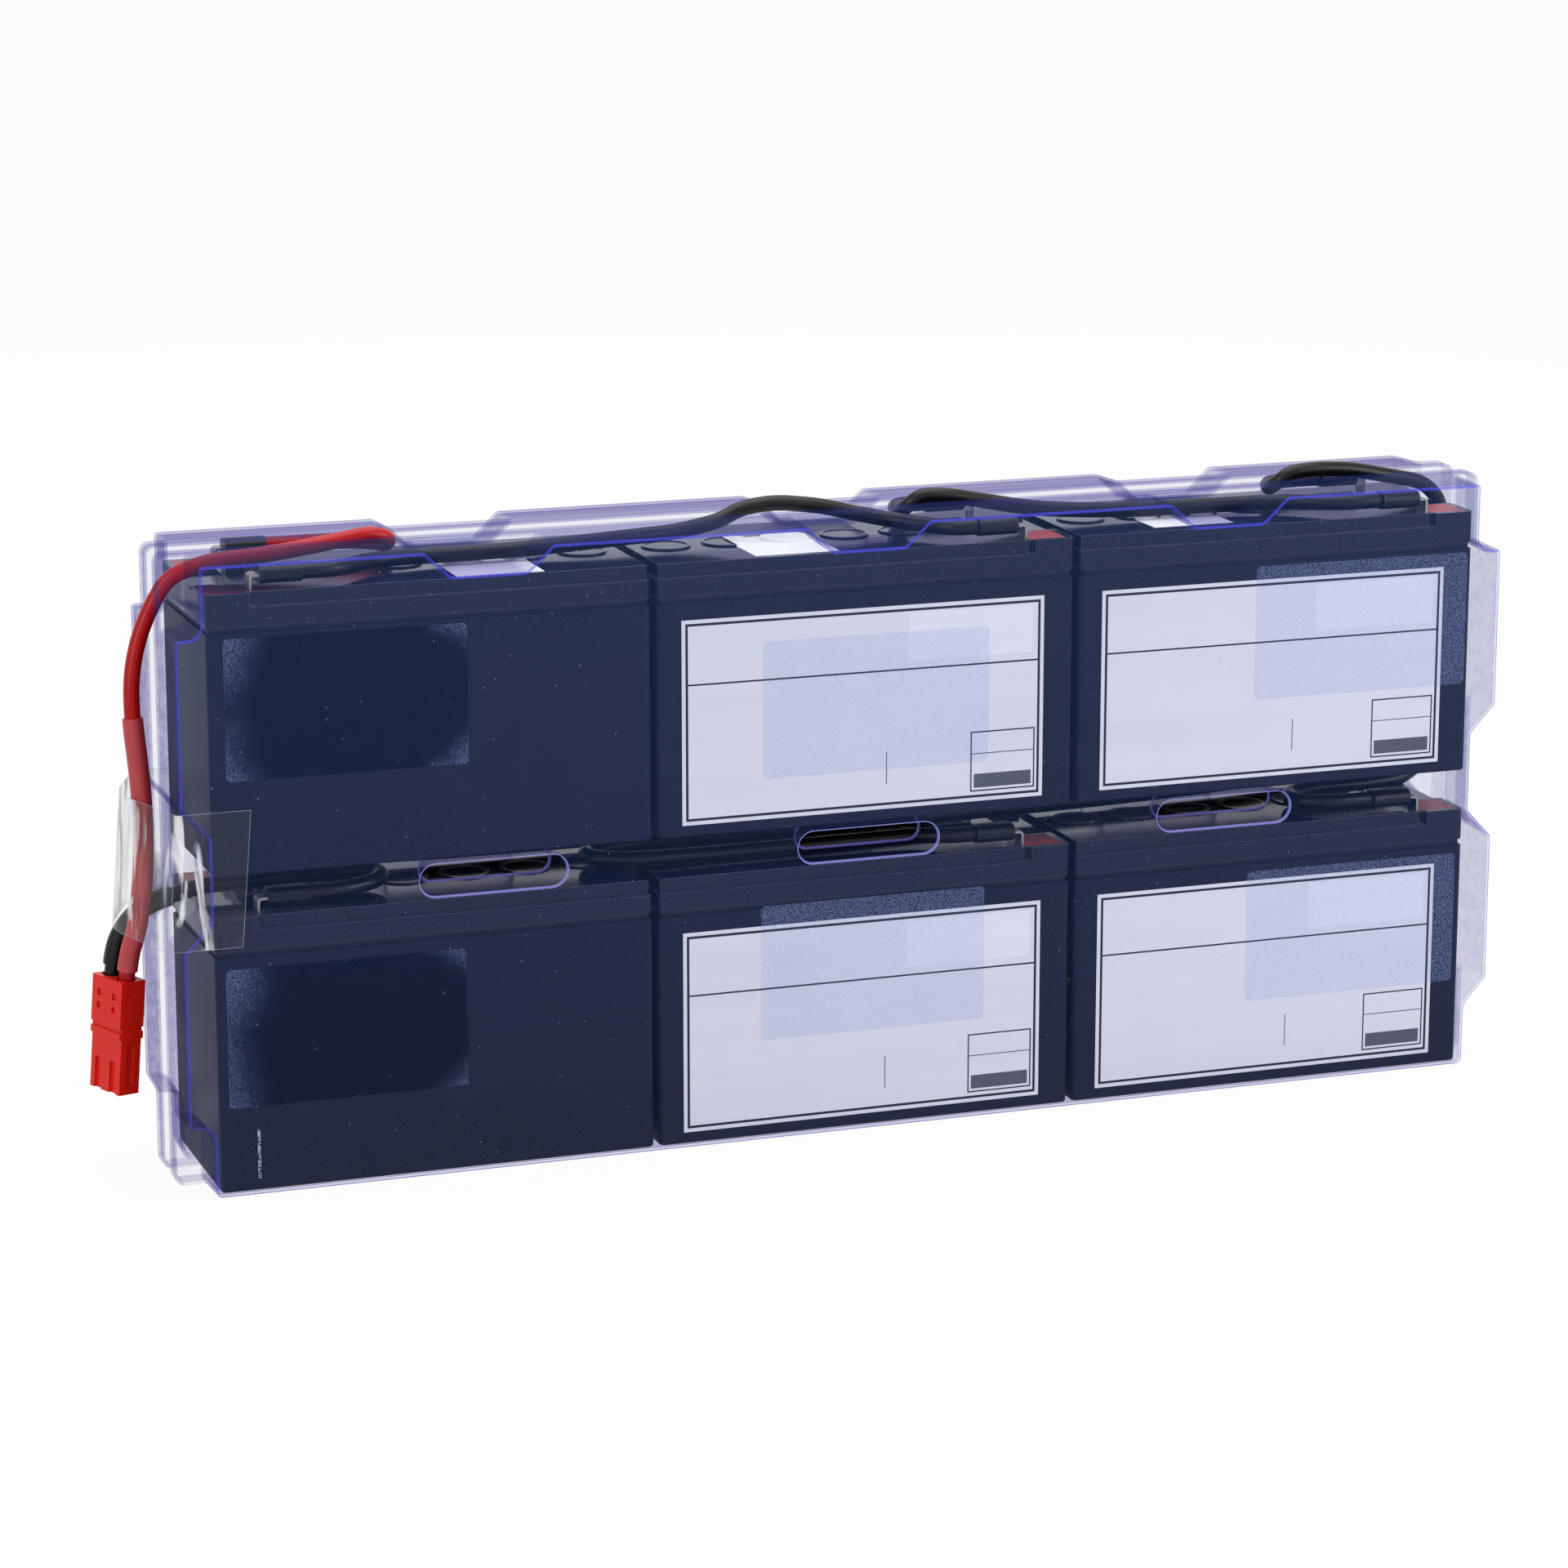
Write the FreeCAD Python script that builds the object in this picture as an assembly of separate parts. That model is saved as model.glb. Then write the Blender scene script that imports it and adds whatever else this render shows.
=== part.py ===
import FreeCAD, Part
import math
import os

# UPS battery cartridge: six sealed lead-acid blocks in three columns and two
# rows, standing on a long edge between two clear thermoformed half shells.
# Origin: middle of the resting edge. X along the pack, Y from front to rear,
# Z up. All sizes in millimetres.

# ---- battery block -------------------------------------------------------
cell_length = 151.0
cell_depth = 65.0
cell_height = 94.0
cell_corner = 2.0
lid_height = 11.8
seam_groove = 0.7
shoulder_height = 1.6
shoulder_inset = 0.7
rebate_height = 4.8
rebate_inset = 1.8
far_rebate_inset = 1.2
terminal_block_length = 14.6
terminal_block_width = 18.0
end_recess_depth = 1.5
inlay_thickness = 0.5
inlay_margin = 2.6
vent_count = 6
vent_diameter = 17.0
vent_pitch = 21.5
vent_first = 14.0
vent_height = 0.6
vent_rim = 1.2

# ---- terminals -----------------------------------------------------------
tab_inset = 16.5
tab_edge = 8.0
tab_width = 6.3
tab_thickness = 0.8
tab_rise = 4.9
tab_reach = 8.0
tab_bend = 1.6
tab_window_width = 2.7
tab_window_height = 3.9
tab_window_depth = 0.6
tab_window_drop = 0.6

# ---- pack layout ---------------------------------------------------------
columns = 3
rows = 2
column_gap = 1.9
row_gap = 14.2

# ---- half shells ---------------------------------------------------------
sheet = 0.8
pad_thickness = 0.4
floor_clearance = 0.2
end_clearance = 1.2
notch_clearance = 0.4
headroom = 9.5
lug_reach = 10.6
flange_depth = 8.0
trim_gap = 11.4
draft = 0.8
fold_edge = 0.5
flange_corner = 2.5
corner_radius = 1.3
foot_corner_radius = 2.4
top_notch_from_end = 95.0
top_notch_width = 44.0
top_notch_floor_width = 26.0
lid_notch_clearance = 0.2
top_corner_notch_height = 23.7
top_corner_notch_radius = 4.6
side_notch_height = 48.3
side_notch_taper = 10.0
side_notch_drop = 6.4
left_foot_notch_height = 24.5
left_foot_notch_radius = 5.7
right_foot_notch_height = 22.0
right_foot_notch_rise = 9.5
right_foot_notch_radius = 8.0
pocket_length = 51.5
pocket_height = 11.4
pocket_depth = 12.0
pocket_end_taper = 3.4
pocket_floor_height = 7.8
pocket_floor_lift = 1.2

# ---- labels, adhesive and stickers ---------------------------------------
label_length = 131.2
label_height = 70.6
label_thickness = 0.15
label_from_far_end = 8.6
label_from_floor = 4.1
pad_length = 82.0
pad_height = 47.5
pad_places = (
    # x and z from the block's corner: left, middle and right column
    ((3.2, 29.2), (36.6, 34.2), (66.0, 30.5)),
    ((5.2, 31.8), (37.5, 18.0), (67.0, 32.0)),
)
sticker_length = 30.0
sticker_thickness = 0.12
sticker_drape = 0.03
sticker_places = (
    # column, x and y from the block's corner, width
    (0, 85.0, 3.0, 37.0),
    (1, 36.5, 4.5, 34.0),
    (2, 31.5, 8.0, 17.0),
)

# ---- wiring --------------------------------------------------------------
wire_diameter = 5.4
wire_lane_inset = 15.5
wire_points_half_length = 228.4
sleeve_diameter = 6.9
sleeve_clearance = 0.15
red_sleeve_start = 31.0
sleeve_to_plug = 3.0
boot_length = 14.0
boot_height = 6.0
boot_width = 8.6
boot_gap = 2.8
boot_socket = 3.0
fit_clearance = 0.1

# ---- plug ----------------------------------------------------------------
housing_width = 8.0
housing_breadth = 9.7
housing_body = 20.0
housing_nose = 19.0
housing_turn = 25.0
housing_lean = 4.4
housing_wall = 1.1
contact_thickness = 1.4
contact_width = 5.6
contact_reach = 15.0
entry_clearance = 0.6
entry_depth = 3.0
plug_below_tabs = 139.0

# ---- clear tape round the left end ---------------------------------------
tape_thickness = 0.3
tape_height = 46.0
tape_lean = 3.8
tape_overlap = 24.5
tape_bulge = 11.2
tape_lift = 0.1

# ---- sizes worked out from the above -------------------------------------
pack_length = columns * cell_length + (columns - 1) * column_gap
pack_half = pack_length / 2
shell_half_depth = cell_depth / 2 + pad_thickness + sheet
floor_height = draft + sheet + floor_clearance
row_pitch = cell_height + row_gap
gap_middle = floor_height + cell_height + row_gap / 2
shell_bottom = floor_height - floor_clearance - sheet
lid_top = floor_height + row_pitch * (rows - 1) + cell_height
shell_top = lid_top + headroom
corner_half = pack_half + end_clearance + sheet
ledge_depth = shell_half_depth - trim_gap / 2 - flange_depth
top_notch_pitch = pack_half - top_notch_from_end
side_notch_half = pack_half + notch_clearance + sheet
lug_half = pack_half + lug_reach
notch_floor = lid_top + lid_notch_clearance + sheet
body_height = cell_height - lid_height
tab_x = cell_length - tab_inset
boot_start = tab_x - boot_gap
boot_end = boot_start - boot_length


def vec(x, y, z):
    return FreeCAD.Vector(x, y, z)


def box(x0, x1, y0, y1, z0, z1):
    return Part.makeBox(x1 - x0, y1 - y0, z1 - z0, vec(x0, y0, z0))


def write(name, shape):
    shape.exportStep("parts/" + name + ".step")
    print(name, "solids", len(shape.Solids), "volume", round(shape.Volume, 1), shape.isValid())


# ---- outlines: corners given anticlockwise in the XZ plane as (x, z, radius)

def offset_corners(corners, grow):
    """Moves every edge of a polygon outward by grow, and its corner radii with it."""
    count = len(corners)
    moved = []
    for i in range(count):
        x, z, radius = corners[i]
        before = corners[i - 1]
        after = corners[(i + 1) % count]
        in_x, in_z = x - before[0], z - before[1]
        out_x, out_z = after[0] - x, after[1] - z
        in_length = math.hypot(in_x, in_z)
        out_length = math.hypot(out_x, out_z)
        in_x, in_z = in_x / in_length, in_z / in_length
        out_x, out_z = out_x / out_length, out_z / out_length
        turn = in_x * out_z - in_z * out_x
        share = grow / (1 + in_x * out_x + in_z * out_z)
        new_x = x + share * (in_z + out_z)
        new_z = z - share * (in_x + out_x)
        new_radius = radius + grow if turn > 0 else radius - grow
        moved.append((new_x, new_z, new_radius))
    return moved


def outline(corners, y, grow=0.0):
    """A closed wire of straight runs and tangent arcs at depth y."""
    points = offset_corners(corners, grow)
    count = len(points)
    arcs = []
    for i in range(count):
        x, z, radius = points[i]
        here = vec(x, y, z)
        before = vec(points[i - 1][0], y, points[i - 1][1])
        after = vec(points[(i + 1) % count][0], y, points[(i + 1) % count][1])
        arcs.append(corner_arc(before, here, after, radius))
    edges = []
    for i in range(count):
        start, middle, end = arcs[i]
        edges.append(Part.Arc(start, middle, end).toShape())
        edges.append(Part.LineSegment(end, arcs[(i + 1) % count][0]).toShape())
    return Part.Wire(edges)


def corner_arc(before, here, after, radius):
    """Start, middle and end of the arc that rounds a corner."""
    back = (before - here).normalize()
    ahead = (after - here).normalize()
    half = back.getAngle(ahead) / 2
    reach = radius / math.tan(half)
    bisector = (back + ahead).normalize()
    middle = here + bisector * (radius / math.sin(half) - radius)
    return here + back * reach, middle, here + ahead * reach


def loft(wires):
    return Part.makeLoft(wires, True, True)


# ---- half shells ----------------------------------------------------------

def top_notch_corners(centre):
    """One trapezoid notch in the top edge, from right to left."""
    half = top_notch_width / 2
    floor_half = top_notch_floor_width / 2
    return [
        (centre + half, shell_top, 2.2),
        (centre + floor_half, notch_floor, 3.0),
        (centre - floor_half, notch_floor, 3.0),
        (centre - half, shell_top, 2.2),
    ]


def side_notch_corners(side):
    """The notch beside the gap between the rows, from the bottom up."""
    low = gap_middle + side_notch_drop - side_notch_height / 2
    high = low + side_notch_height
    return [
        (side * lug_half, low, corner_radius),
        (side * side_notch_half, low + side_notch_taper, 1.6),
        (side * side_notch_half, high - side_notch_taper, 1.6),
        (side * lug_half, high, corner_radius),
    ]


def face_corners():
    """Outline of the shell's front face."""
    notch_low = shell_top - top_corner_notch_height
    foot_left = shell_bottom + left_foot_notch_height
    foot_right = shell_bottom + right_foot_notch_height
    corners = [
        (-corner_half, shell_bottom, foot_corner_radius),
        (corner_half, shell_bottom, foot_corner_radius),
        (corner_half, foot_right, right_foot_notch_radius),
        (lug_half, foot_right + right_foot_notch_rise, corner_radius),
    ]
    corners += side_notch_corners(1)
    corners += [
        (lug_half, notch_low, corner_radius),
        (corner_half, notch_low, top_corner_notch_radius),
        (corner_half, shell_top, corner_radius),
    ]
    for place in (1, 0, -1):
        corners += top_notch_corners(place * top_notch_pitch)
    corners += [
        (-corner_half, shell_top, corner_radius),
        (-corner_half, notch_low, top_corner_notch_radius),
        (-lug_half, notch_low, corner_radius),
    ]
    corners += reversed(side_notch_corners(-1))
    corners += [
        (-lug_half, foot_left, corner_radius),
        (-corner_half, foot_left, left_foot_notch_radius),
    ]
    return corners


def flange_corners():
    """Outline of the flange behind the ledge: a plain rectangle."""
    return [
        (-lug_half, shell_bottom, flange_corner),
        (lug_half, shell_bottom, flange_corner),
        (lug_half, shell_top, flange_corner),
        (-lug_half, shell_top, flange_corner),
    ]


def pocket_corners(centre, length, height, lift):
    """A stadium, as a rectangle whose corners are half its height."""
    half = length / 2
    low = gap_middle + lift - height / 2
    high = low + height
    radius = height / 2 - 0.05
    return [
        (centre - half, low, radius),
        (centre + half, low, radius),
        (centre + half, high, radius),
        (centre - half, high, radius),
    ]


def pocket(centre, face, grow, extra):
    """The space of one finger pocket, narrowing to the cut-out in its floor."""
    rim = pocket_corners(centre, pocket_length, pocket_height, 0.0)
    floor_length = pocket_length - 2 * pocket_end_taper
    floor = pocket_corners(centre, floor_length, pocket_floor_height, pocket_floor_lift)
    space = loft([outline(rim, face, grow), outline(floor, face + pocket_depth, grow)])
    if extra > 0:
        mouth = outline(rim, face, grow)
        before = Part.Face(mouth).extrude(vec(0, -extra, 0))
        end = outline(floor, face + pocket_depth, grow)
        beyond = Part.Face(end).extrude(vec(0, extra, 0))
        space = space.fuse([before, beyond])
    return space


def half_shell():
    """The front half: a drafted, notched face, a ledge and a square flange."""
    face = -shell_half_depth
    ledge = face + ledge_depth
    trim = -trim_gap / 2
    corners = face_corners()
    flange = flange_corners()
    outer_face = loft([
        outline(corners, face, -fold_edge),
        outline(corners, face + fold_edge, 0.0),
        outline(corners, ledge, draft),
    ])
    outer_flange = Part.Face(outline(flange, ledge, draft)).extrude(vec(0, trim - ledge, 0))
    inner_ledge = ledge + sheet
    inner_draft = draft * inner_ledge_share()
    inner_face = loft([
        outline(corners, face + sheet, -sheet - fold_edge / 2),
        outline(corners, face + sheet + fold_edge / 2, -sheet),
        outline(corners, inner_ledge, inner_draft - sheet),
    ])
    depth = trim - inner_ledge + 1
    inner_flange = Part.Face(outline(flange, inner_ledge, draft - sheet)).extrude(vec(0, depth, 0))
    shell = outer_face.fuse(outer_flange).cut(inner_face.fuse(inner_flange))
    for place in (-1, 0, 1):
        centre = place * top_notch_pitch
        wall = pocket(centre, face, sheet, 0).cut(pocket(centre, face, 0.0, 1.0))
        shell = shell.cut(pocket(centre, face, sheet / 2, 1.0)).fuse(wall)
    return shell.removeSplitter()


def inner_ledge_share():
    return (ledge_depth + sheet) / ledge_depth


# ---- battery block: x from the plain end to the terminal end, y from front ----

def rounded_block(length, depth, z0, z1, inset=0.0, radius=cell_corner):
    """A block with rounded upright edges, inset on all four sides."""
    block = box(inset, length - inset, inset, depth - inset, z0, z1)
    upright = [e for e in block.Edges if abs(e.Vertexes[0].Z - e.Vertexes[-1].Z) > 0.01]
    return block.makeFillet(radius, upright)


def cell_container():
    """The moulded container, with a set-in shoulder under the lid seam."""
    body = rounded_block(cell_length, cell_depth, 0, body_height - shoulder_height)
    shoulder = rounded_block(cell_length, cell_depth, body_height - shoulder_height, body_height, shoulder_inset)
    bottom = [e for e in body.Edges if e.BoundBox.ZMax < 0.01]
    return body.makeFillet(1.0, bottom).fuse(shoulder).removeSplitter()


def terminal_sides():
    """Y of the front and the rear tab."""
    return (tab_edge, cell_depth - tab_edge)


def inlay_space(y, lift=0.0):
    """Colour inlay that marks the positive terminal, between tab and end."""
    side = 1 if y < cell_depth / 2 else -1
    outer = y - side * (tab_edge - rebate_inset - 0.4)
    inner = outer + side * (terminal_block_width - rebate_inset - 1.2)
    low, high = min(outer, inner), max(outer, inner)
    x0 = tab_x + tab_thickness
    x1 = cell_length - inlay_margin
    return box(x0, x1, low, high, cell_height - inlay_thickness, cell_height + lift)


def cell_lid():
    """The welded lid: groove, rebate, flush terminal blocks and vent seats."""
    groove_top = body_height + seam_groove
    step = cell_height - rebate_height
    lid = rounded_block(cell_length, cell_depth, body_height, groove_top, seam_groove)
    lid = lid.fuse(rounded_block(cell_length, cell_depth, groove_top, step))
    x0 = far_rebate_inset
    y0 = rebate_inset
    crown = box(x0, cell_length - 4, y0, cell_depth - y0, step, cell_height)
    end = rounded_block(cell_length, cell_depth, step, cell_height)
    end = end.common(box(cell_length - terminal_block_length, cell_length, 0, cell_depth, step, cell_height))
    recess = box(
        cell_length - terminal_block_length + 1, cell_length + 1,
        terminal_block_width, cell_depth - terminal_block_width,
        cell_height - end_recess_depth, cell_height + 1,
    )
    lid = lid.fuse([crown, end]).cut(recess)
    lid = lid.cut(inlay_space(terminal_sides()[0], 1.0))
    x1 = cell_length - terminal_block_length
    x0 = x1 - tab_window_width
    top = cell_height - tab_window_drop
    back = rebate_inset + tab_window_depth
    for y0, y1 in ((-1, back), (cell_depth - back, cell_depth + 1)):
        lid = lid.cut(box(x0, x1, y0, y1, top - tab_window_height, top))
    return lid.removeSplitter()


def vent_covers():
    """Six round covers over the valves, each a low disc with a raised rim."""
    covers = []
    middle = cell_depth / 2
    for i in range(vent_count):
        x = vent_first + i * vent_pitch
        disc = Part.makeCylinder(vent_diameter / 2, vent_height, vec(x, middle, cell_height))
        dish = Part.makeCylinder(vent_diameter / 2 - vent_rim, vent_height, vec(x, middle, cell_height + vent_height / 2))
        covers.append(disc.cut(dish))
    return Part.makeCompound(covers)


def blade_tab(y):
    """Tin-plated blade: up from the lid, then bent flat towards the middle."""
    low = y - tab_width / 2
    radius = tab_bend
    top = cell_height + tab_rise
    x0 = tab_x
    x1 = tab_x + tab_thickness
    inner = radius - tab_thickness
    points = [
        vec(x1, low, cell_height),
        vec(x1, low, top - radius),
        vec(x1 - radius, low, top),
        vec(x0 - tab_reach, low, top),
        vec(x0 - tab_reach, low, top - tab_thickness),
        vec(x1 - radius, low, top - tab_thickness),
        vec(x0, low, top - radius),
        vec(x0, low, cell_height),
    ]
    slant = math.sqrt(0.5)
    centre = vec(x1 - radius, low, top - radius)
    outer_middle = centre + vec(radius * slant, 0, radius * slant)
    inner_middle = centre + vec(inner * slant, 0, inner * slant)
    edges = [
        Part.LineSegment(points[0], points[1]).toShape(),
        Part.Arc(points[1], outer_middle, points[2]).toShape(),
        Part.LineSegment(points[2], points[3]).toShape(),
        Part.LineSegment(points[3], points[4]).toShape(),
        Part.LineSegment(points[4], points[5]).toShape(),
        Part.Arc(points[5], inner_middle, points[6]).toShape(),
        Part.LineSegment(points[6], points[7]).toShape(),
        Part.LineSegment(points[7], points[0]).toShape(),
    ]
    return Part.Face(Part.Wire(edges)).extrude(vec(0, tab_width, 0))


def boot(y):
    """Insulating boot: flat-sided tube over the blade, with a wire socket."""
    middle = cell_height + tab_rise - tab_thickness / 2
    radius = boot_height / 2 - 0.05
    low, high = middle - boot_height / 2, middle + boot_height / 2
    block = box(boot_end, boot_start, y - boot_width / 2, y + boot_width / 2, low, high)
    long_edges = [e for e in block.Edges if e.BoundBox.XLength > boot_length / 2]
    block = block.makeFillet(radius, long_edges)
    slot_height = tab_thickness / 2 + fit_clearance
    slot_half = tab_width / 2 + fit_clearance
    slot_end = tab_x - tab_reach - fit_clearance
    slot = box(slot_end, boot_start + 1, y - slot_half, y + slot_half, middle - slot_height, middle + slot_height)
    bore = wire_diameter / 2 + fit_clearance
    socket = Part.makeCylinder(bore, boot_socket + 1, vec(boot_end - 1, y, middle), vec(1, 0, 0))
    return block.cut(slot).cut(socket)


def face_label():
    """Paper label on the long side that faces the viewer."""
    x0 = label_from_far_end
    z0 = label_from_floor
    return box(x0, x0 + label_length, -label_thickness, 0, z0, z0 + label_height)


# ---- placing blocks in the pack --------------------------------------------

def cell_corner_point(column, row):
    x = -pack_half + column * (cell_length + column_gap)
    z = floor_height + row * row_pitch
    return vec(x, -cell_depth / 2, z)


def place(shape, column, row):
    """The left column is turned round, so its terminals are at the left end."""
    moved = shape.copy()
    if column == 0:
        moved.rotate(vec(cell_length / 2, cell_depth / 2, 0), vec(0, 0, 1), 180)
    moved.translate(cell_corner_point(column, row))
    return moved


def wire_end(column, row, front):
    """Where a wire stops inside the boot of the front or rear terminal."""
    side = -1 if front else 1
    x = boot_end + boot_socket - fit_clearance
    corner = cell_corner_point(column, row)
    if column == 0:
        x = cell_length - x
    y = side * (cell_depth / 2 - tab_edge)
    return vec(corner.x + x, y, corner.z + cell_height + tab_rise - tab_thickness / 2)


# ---- wires: straight runs joined by tangent arcs ---------------------------

def route_edges(points, name):
    """Edges of a route, with each arc as large as its two runs allow."""
    arcs = []
    radii = []
    for i in range(1, len(points) - 1):
        back = points[i - 1] - points[i]
        ahead = points[i + 1] - points[i]
        turn = math.pi - back.getAngle(ahead)
        radius = 0.45 * min(back.Length, ahead.Length) / math.tan(turn / 2)
        radii.append(round(radius, 1))
        arcs.append(corner_arc(points[i - 1], points[i], points[i + 1], radius))
    edges = []
    start = points[0]
    for first, middle, last in arcs:
        edges.append(Part.LineSegment(start, first).toShape())
        edges.append(Part.Arc(first, middle, last).toShape())
        start = last
    edges.append(Part.LineSegment(start, points[-1]).toShape())
    print(name, "length", round(sum(e.Length for e in edges), 1), "radii", radii)
    return edges


def tube(edges, diameter):
    """Sweeps a round section along the edges."""
    path = Part.Wire(edges)
    start = edges[0].valueAt(edges[0].FirstParameter)
    heading = edges[0].tangentAt(edges[0].FirstParameter)
    ring = Part.Wire(Part.makeCircle(diameter / 2, start, heading))
    return path.makePipeShell([ring], True, False)


def stretch(edges, start, end):
    """The edges of a route between two lengths along it."""
    kept = []
    passed = 0.0
    for edge in edges:
        low = max(start - passed, 0.0)
        high = min(end - passed, edge.Length)
        if high - low > 0.01:
            first = edge.getParameterByLength(low)
            last = edge.getParameterByLength(high)
            kept.append(edge.Curve.toShape(first, last))
        passed += edge.Length
    return kept


def sleeve(edges, start):
    """Shrunk sleeve over a lead, ending just short of its plug."""
    length = sum(edge.Length for edge in edges)
    covered = stretch(edges, start, length - entry_depth - sleeve_to_plug)
    bore = wire_diameter + 2 * sleeve_clearance
    return tube(covered, sleeve_diameter).cut(tube(covered, bore))


def checked_tube(name, edges, diameter):
    solid = tube(edges, diameter)
    length = sum(e.Length for e in edges)
    expected = math.pi * diameter ** 2 / 4 * length
    print(name, "volume over section times length", round(solid.Volume / expected, 4))
    return solid


def spot(x, y, z):
    """A wire point between the ends, whose x stretches with the pack."""
    return vec(x * pack_half / wire_points_half_length, y, z)


def from_left(inward, y, z):
    """A wire point at a set distance from the pack's left end."""
    return vec(-pack_half + inward, y, z)


def from_right(outward, y, z):
    """A wire point at a set distance from the pack's right end."""
    return vec(pack_half + outward, y, z)


def jumper_routes():
    """Series links: each runs from one block's negative to the next one's positive."""
    top = lid_top + tab_rise - tab_thickness / 2
    gap = top - row_pitch
    lane = cell_depth / 2 - wire_lane_inset
    first = wire_end(0, 1, True)
    second = wire_end(1, 1, True)
    third = wire_end(1, 1, False)
    fourth = wire_end(2, 1, True)
    fifth = wire_end(2, 1, False)
    sixth = wire_end(2, 0, True)
    seventh = wire_end(2, 0, False)
    eighth = wire_end(1, 0, True)
    ninth = wire_end(1, 0, False)
    tenth = wire_end(0, 0, False)
    return {
        "jumper_top_left": [
            first,
            first + vec(16, 0, 0),
            from_left(62.4, -10, top - 0.5),
            spot(-142, -8.2, top - 0.9),
            spot(-112, -8, top - 0.8),
            spot(-82, -6, top + 0.4),
            spot(-58, -2, top + 0.6),
            spot(-42, 0, top + 3.2),
            spot(-34.5, 0.8, top + 6.8),
            spot(-22, 0.8, top + 8.2),
            spot(-5, 0.2, top + 6),
            spot(8, -1.6, top + 2.6),
            spot(17.5, -5, top + 0.8),
            spot(27, -lane + 2, top),
            second - vec(11, 0, 0),
            second,
        ],
        "jumper_top_right": [
            third,
            third - vec(12, 0, 0),
            spot(28, lane, top + 0.8),
            spot(26.5, 7.6, top + 0.7),
            spot(27, 1.3, top + 4),
            spot(31.5, 0.4, top + 7.4),
            spot(41, 0, top + 7),
            spot(55, -0.4, top + 4.2),
            spot(72, -3, top + 1),
            spot(90, -6, top - 0.2),
            spot(110, -8.3, top - 0.8),
            spot(136, -8.6, top - 0.9),
            from_right(-66.4, -10.5, top - 0.7),
            fourth - vec(18, 0, 0),
            fourth,
        ],
        "jumper_end": [
            fifth,
            fifth - vec(14, 0, 0),
            from_right(-56.9, lane + 1, top + 0.7),
            from_right(-60.9, 7.6, top + 0.7),
            from_right(-60.4, 1.3, top + 4),
            from_right(-55.9, 0.4, top + 7.4),
            from_right(-45.4, 0.1, top + 8.1),
            from_right(-32.4, 0.2, top + 7.2),
            from_right(-18.4, 0.2, top + 4.2),
            from_right(-2.9, 1, top + 0.8),
            from_right(5.8, 3, top - 7.5),
            from_right(6.2, 7, top - 22),
            from_right(5.8, 9, top - 40),
            from_right(6.2, 9.4, top - 62),
            from_right(6, 9, top - 84),
            from_right(5.2, 7, top - 101),
            from_right(-5.4, 3.8, gap - 0.7),
            from_right(-24.4, 1.8, gap - 0.9),
            from_right(-44.4, 1.2, gap - 0.8),
            from_right(-57.4, -5.5, gap - 0.6),
            from_right(-59.9, -lane, gap - 0.3),
            sixth - vec(19, 0, 0),
            sixth,
        ],
        "jumper_low_right": [
            seventh,
            seventh - vec(16, 0, 0),
            from_right(-68.4, lane, gap - 0.5),
            spot(134, lane - 3, gap - 0.8),
            spot(100, 11, gap - 0.9),
            spot(62, 9.4, gap - 0.9),
            spot(24, 6.8, gap - 0.9),
            spot(-16, 5.5, gap - 0.8),
            spot(-54, 5, gap - 0.6),
            spot(-80, 3.5, gap - 0.4),
            spot(-93, -3, gap - 0.2),
            spot(-92, -lane + 5, gap - 0.2),
            spot(-78, -lane - 0.5, gap - 0.5),
            spot(-52, -lane, gap - 0.9),
            spot(-24, -lane + 0.2, gap - 0.9),
            spot(2, -lane + 0.1, gap - 0.9),
            spot(24, -lane - 0.2, gap - 0.7),
            eighth - vec(11, 0, 0),
            eighth,
        ],
        "jumper_low_left": [
            ninth,
            ninth - vec(11, 0, 0),
            spot(23, lane - 0.2, gap - 0.4),
            spot(-6, lane - 0.5, gap - 0.7),
            spot(-44, lane - 1.5, gap - 0.9),
            spot(-84, lane - 0.5, gap - 0.9),
            spot(-124, lane - 0.4, gap - 0.7),
            from_left(72.4, lane, gap - 0.5),
            tenth + vec(14, 0, 0),
            tenth,
        ],
    }


def along(start, end, share):
    """The point that lies a share of the way from one point to another."""
    return start + (end - start) * share


def red_lead_points():
    """The red lead from the upper left block's rear terminal to the plug."""
    top = lid_top + tab_rise - tab_thickness / 2
    lane = cell_depth / 2 - wire_lane_inset
    start = wire_end(0, 1, False)
    last_inside = from_left(-10.9, 0.6, top - 13.9)
    first_outside = from_left(-15.5, 0.2, top - 24)
    leaves = along(last_inside, first_outside, 0.5)
    inside = [
        start,
        start + vec(15, 0, 0),
        from_left(57.4, lane + 3, top + 0.7),
        from_left(67.4, lane - 1, top + 0.8),
        from_left(71.4, 8, top + 0.9),
        from_left(70.4, 1.6, top + 4.2),
        from_left(63.4, 0.2, top + 6.2),
        from_left(48.4, -1, top + 4.2),
        from_left(28.4, -2, top + 1.8),
        from_left(8.4, -1.5, top + 0.9),
        from_left(-5.1, 0.4, top - 4.3),
        last_inside,
        leaves,
    ]
    outside = [
        leaves,
        first_outside,
        from_left(-18.6, -1.5, top - 36.5),
        from_left(-18.9, -3, top - 50.5),
        from_left(-17.4, -3.4, top - 66),
        from_left(-16.5, -3.4, top - 81),
        from_left(-16.6, -3.4, top - 96),
        from_left(-17.8, -4, top - 109.5),
        from_left(-19.7, -3.2, top - 121.5),
    ]
    return inside, outside + plug_end(0, 6.5)


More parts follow.
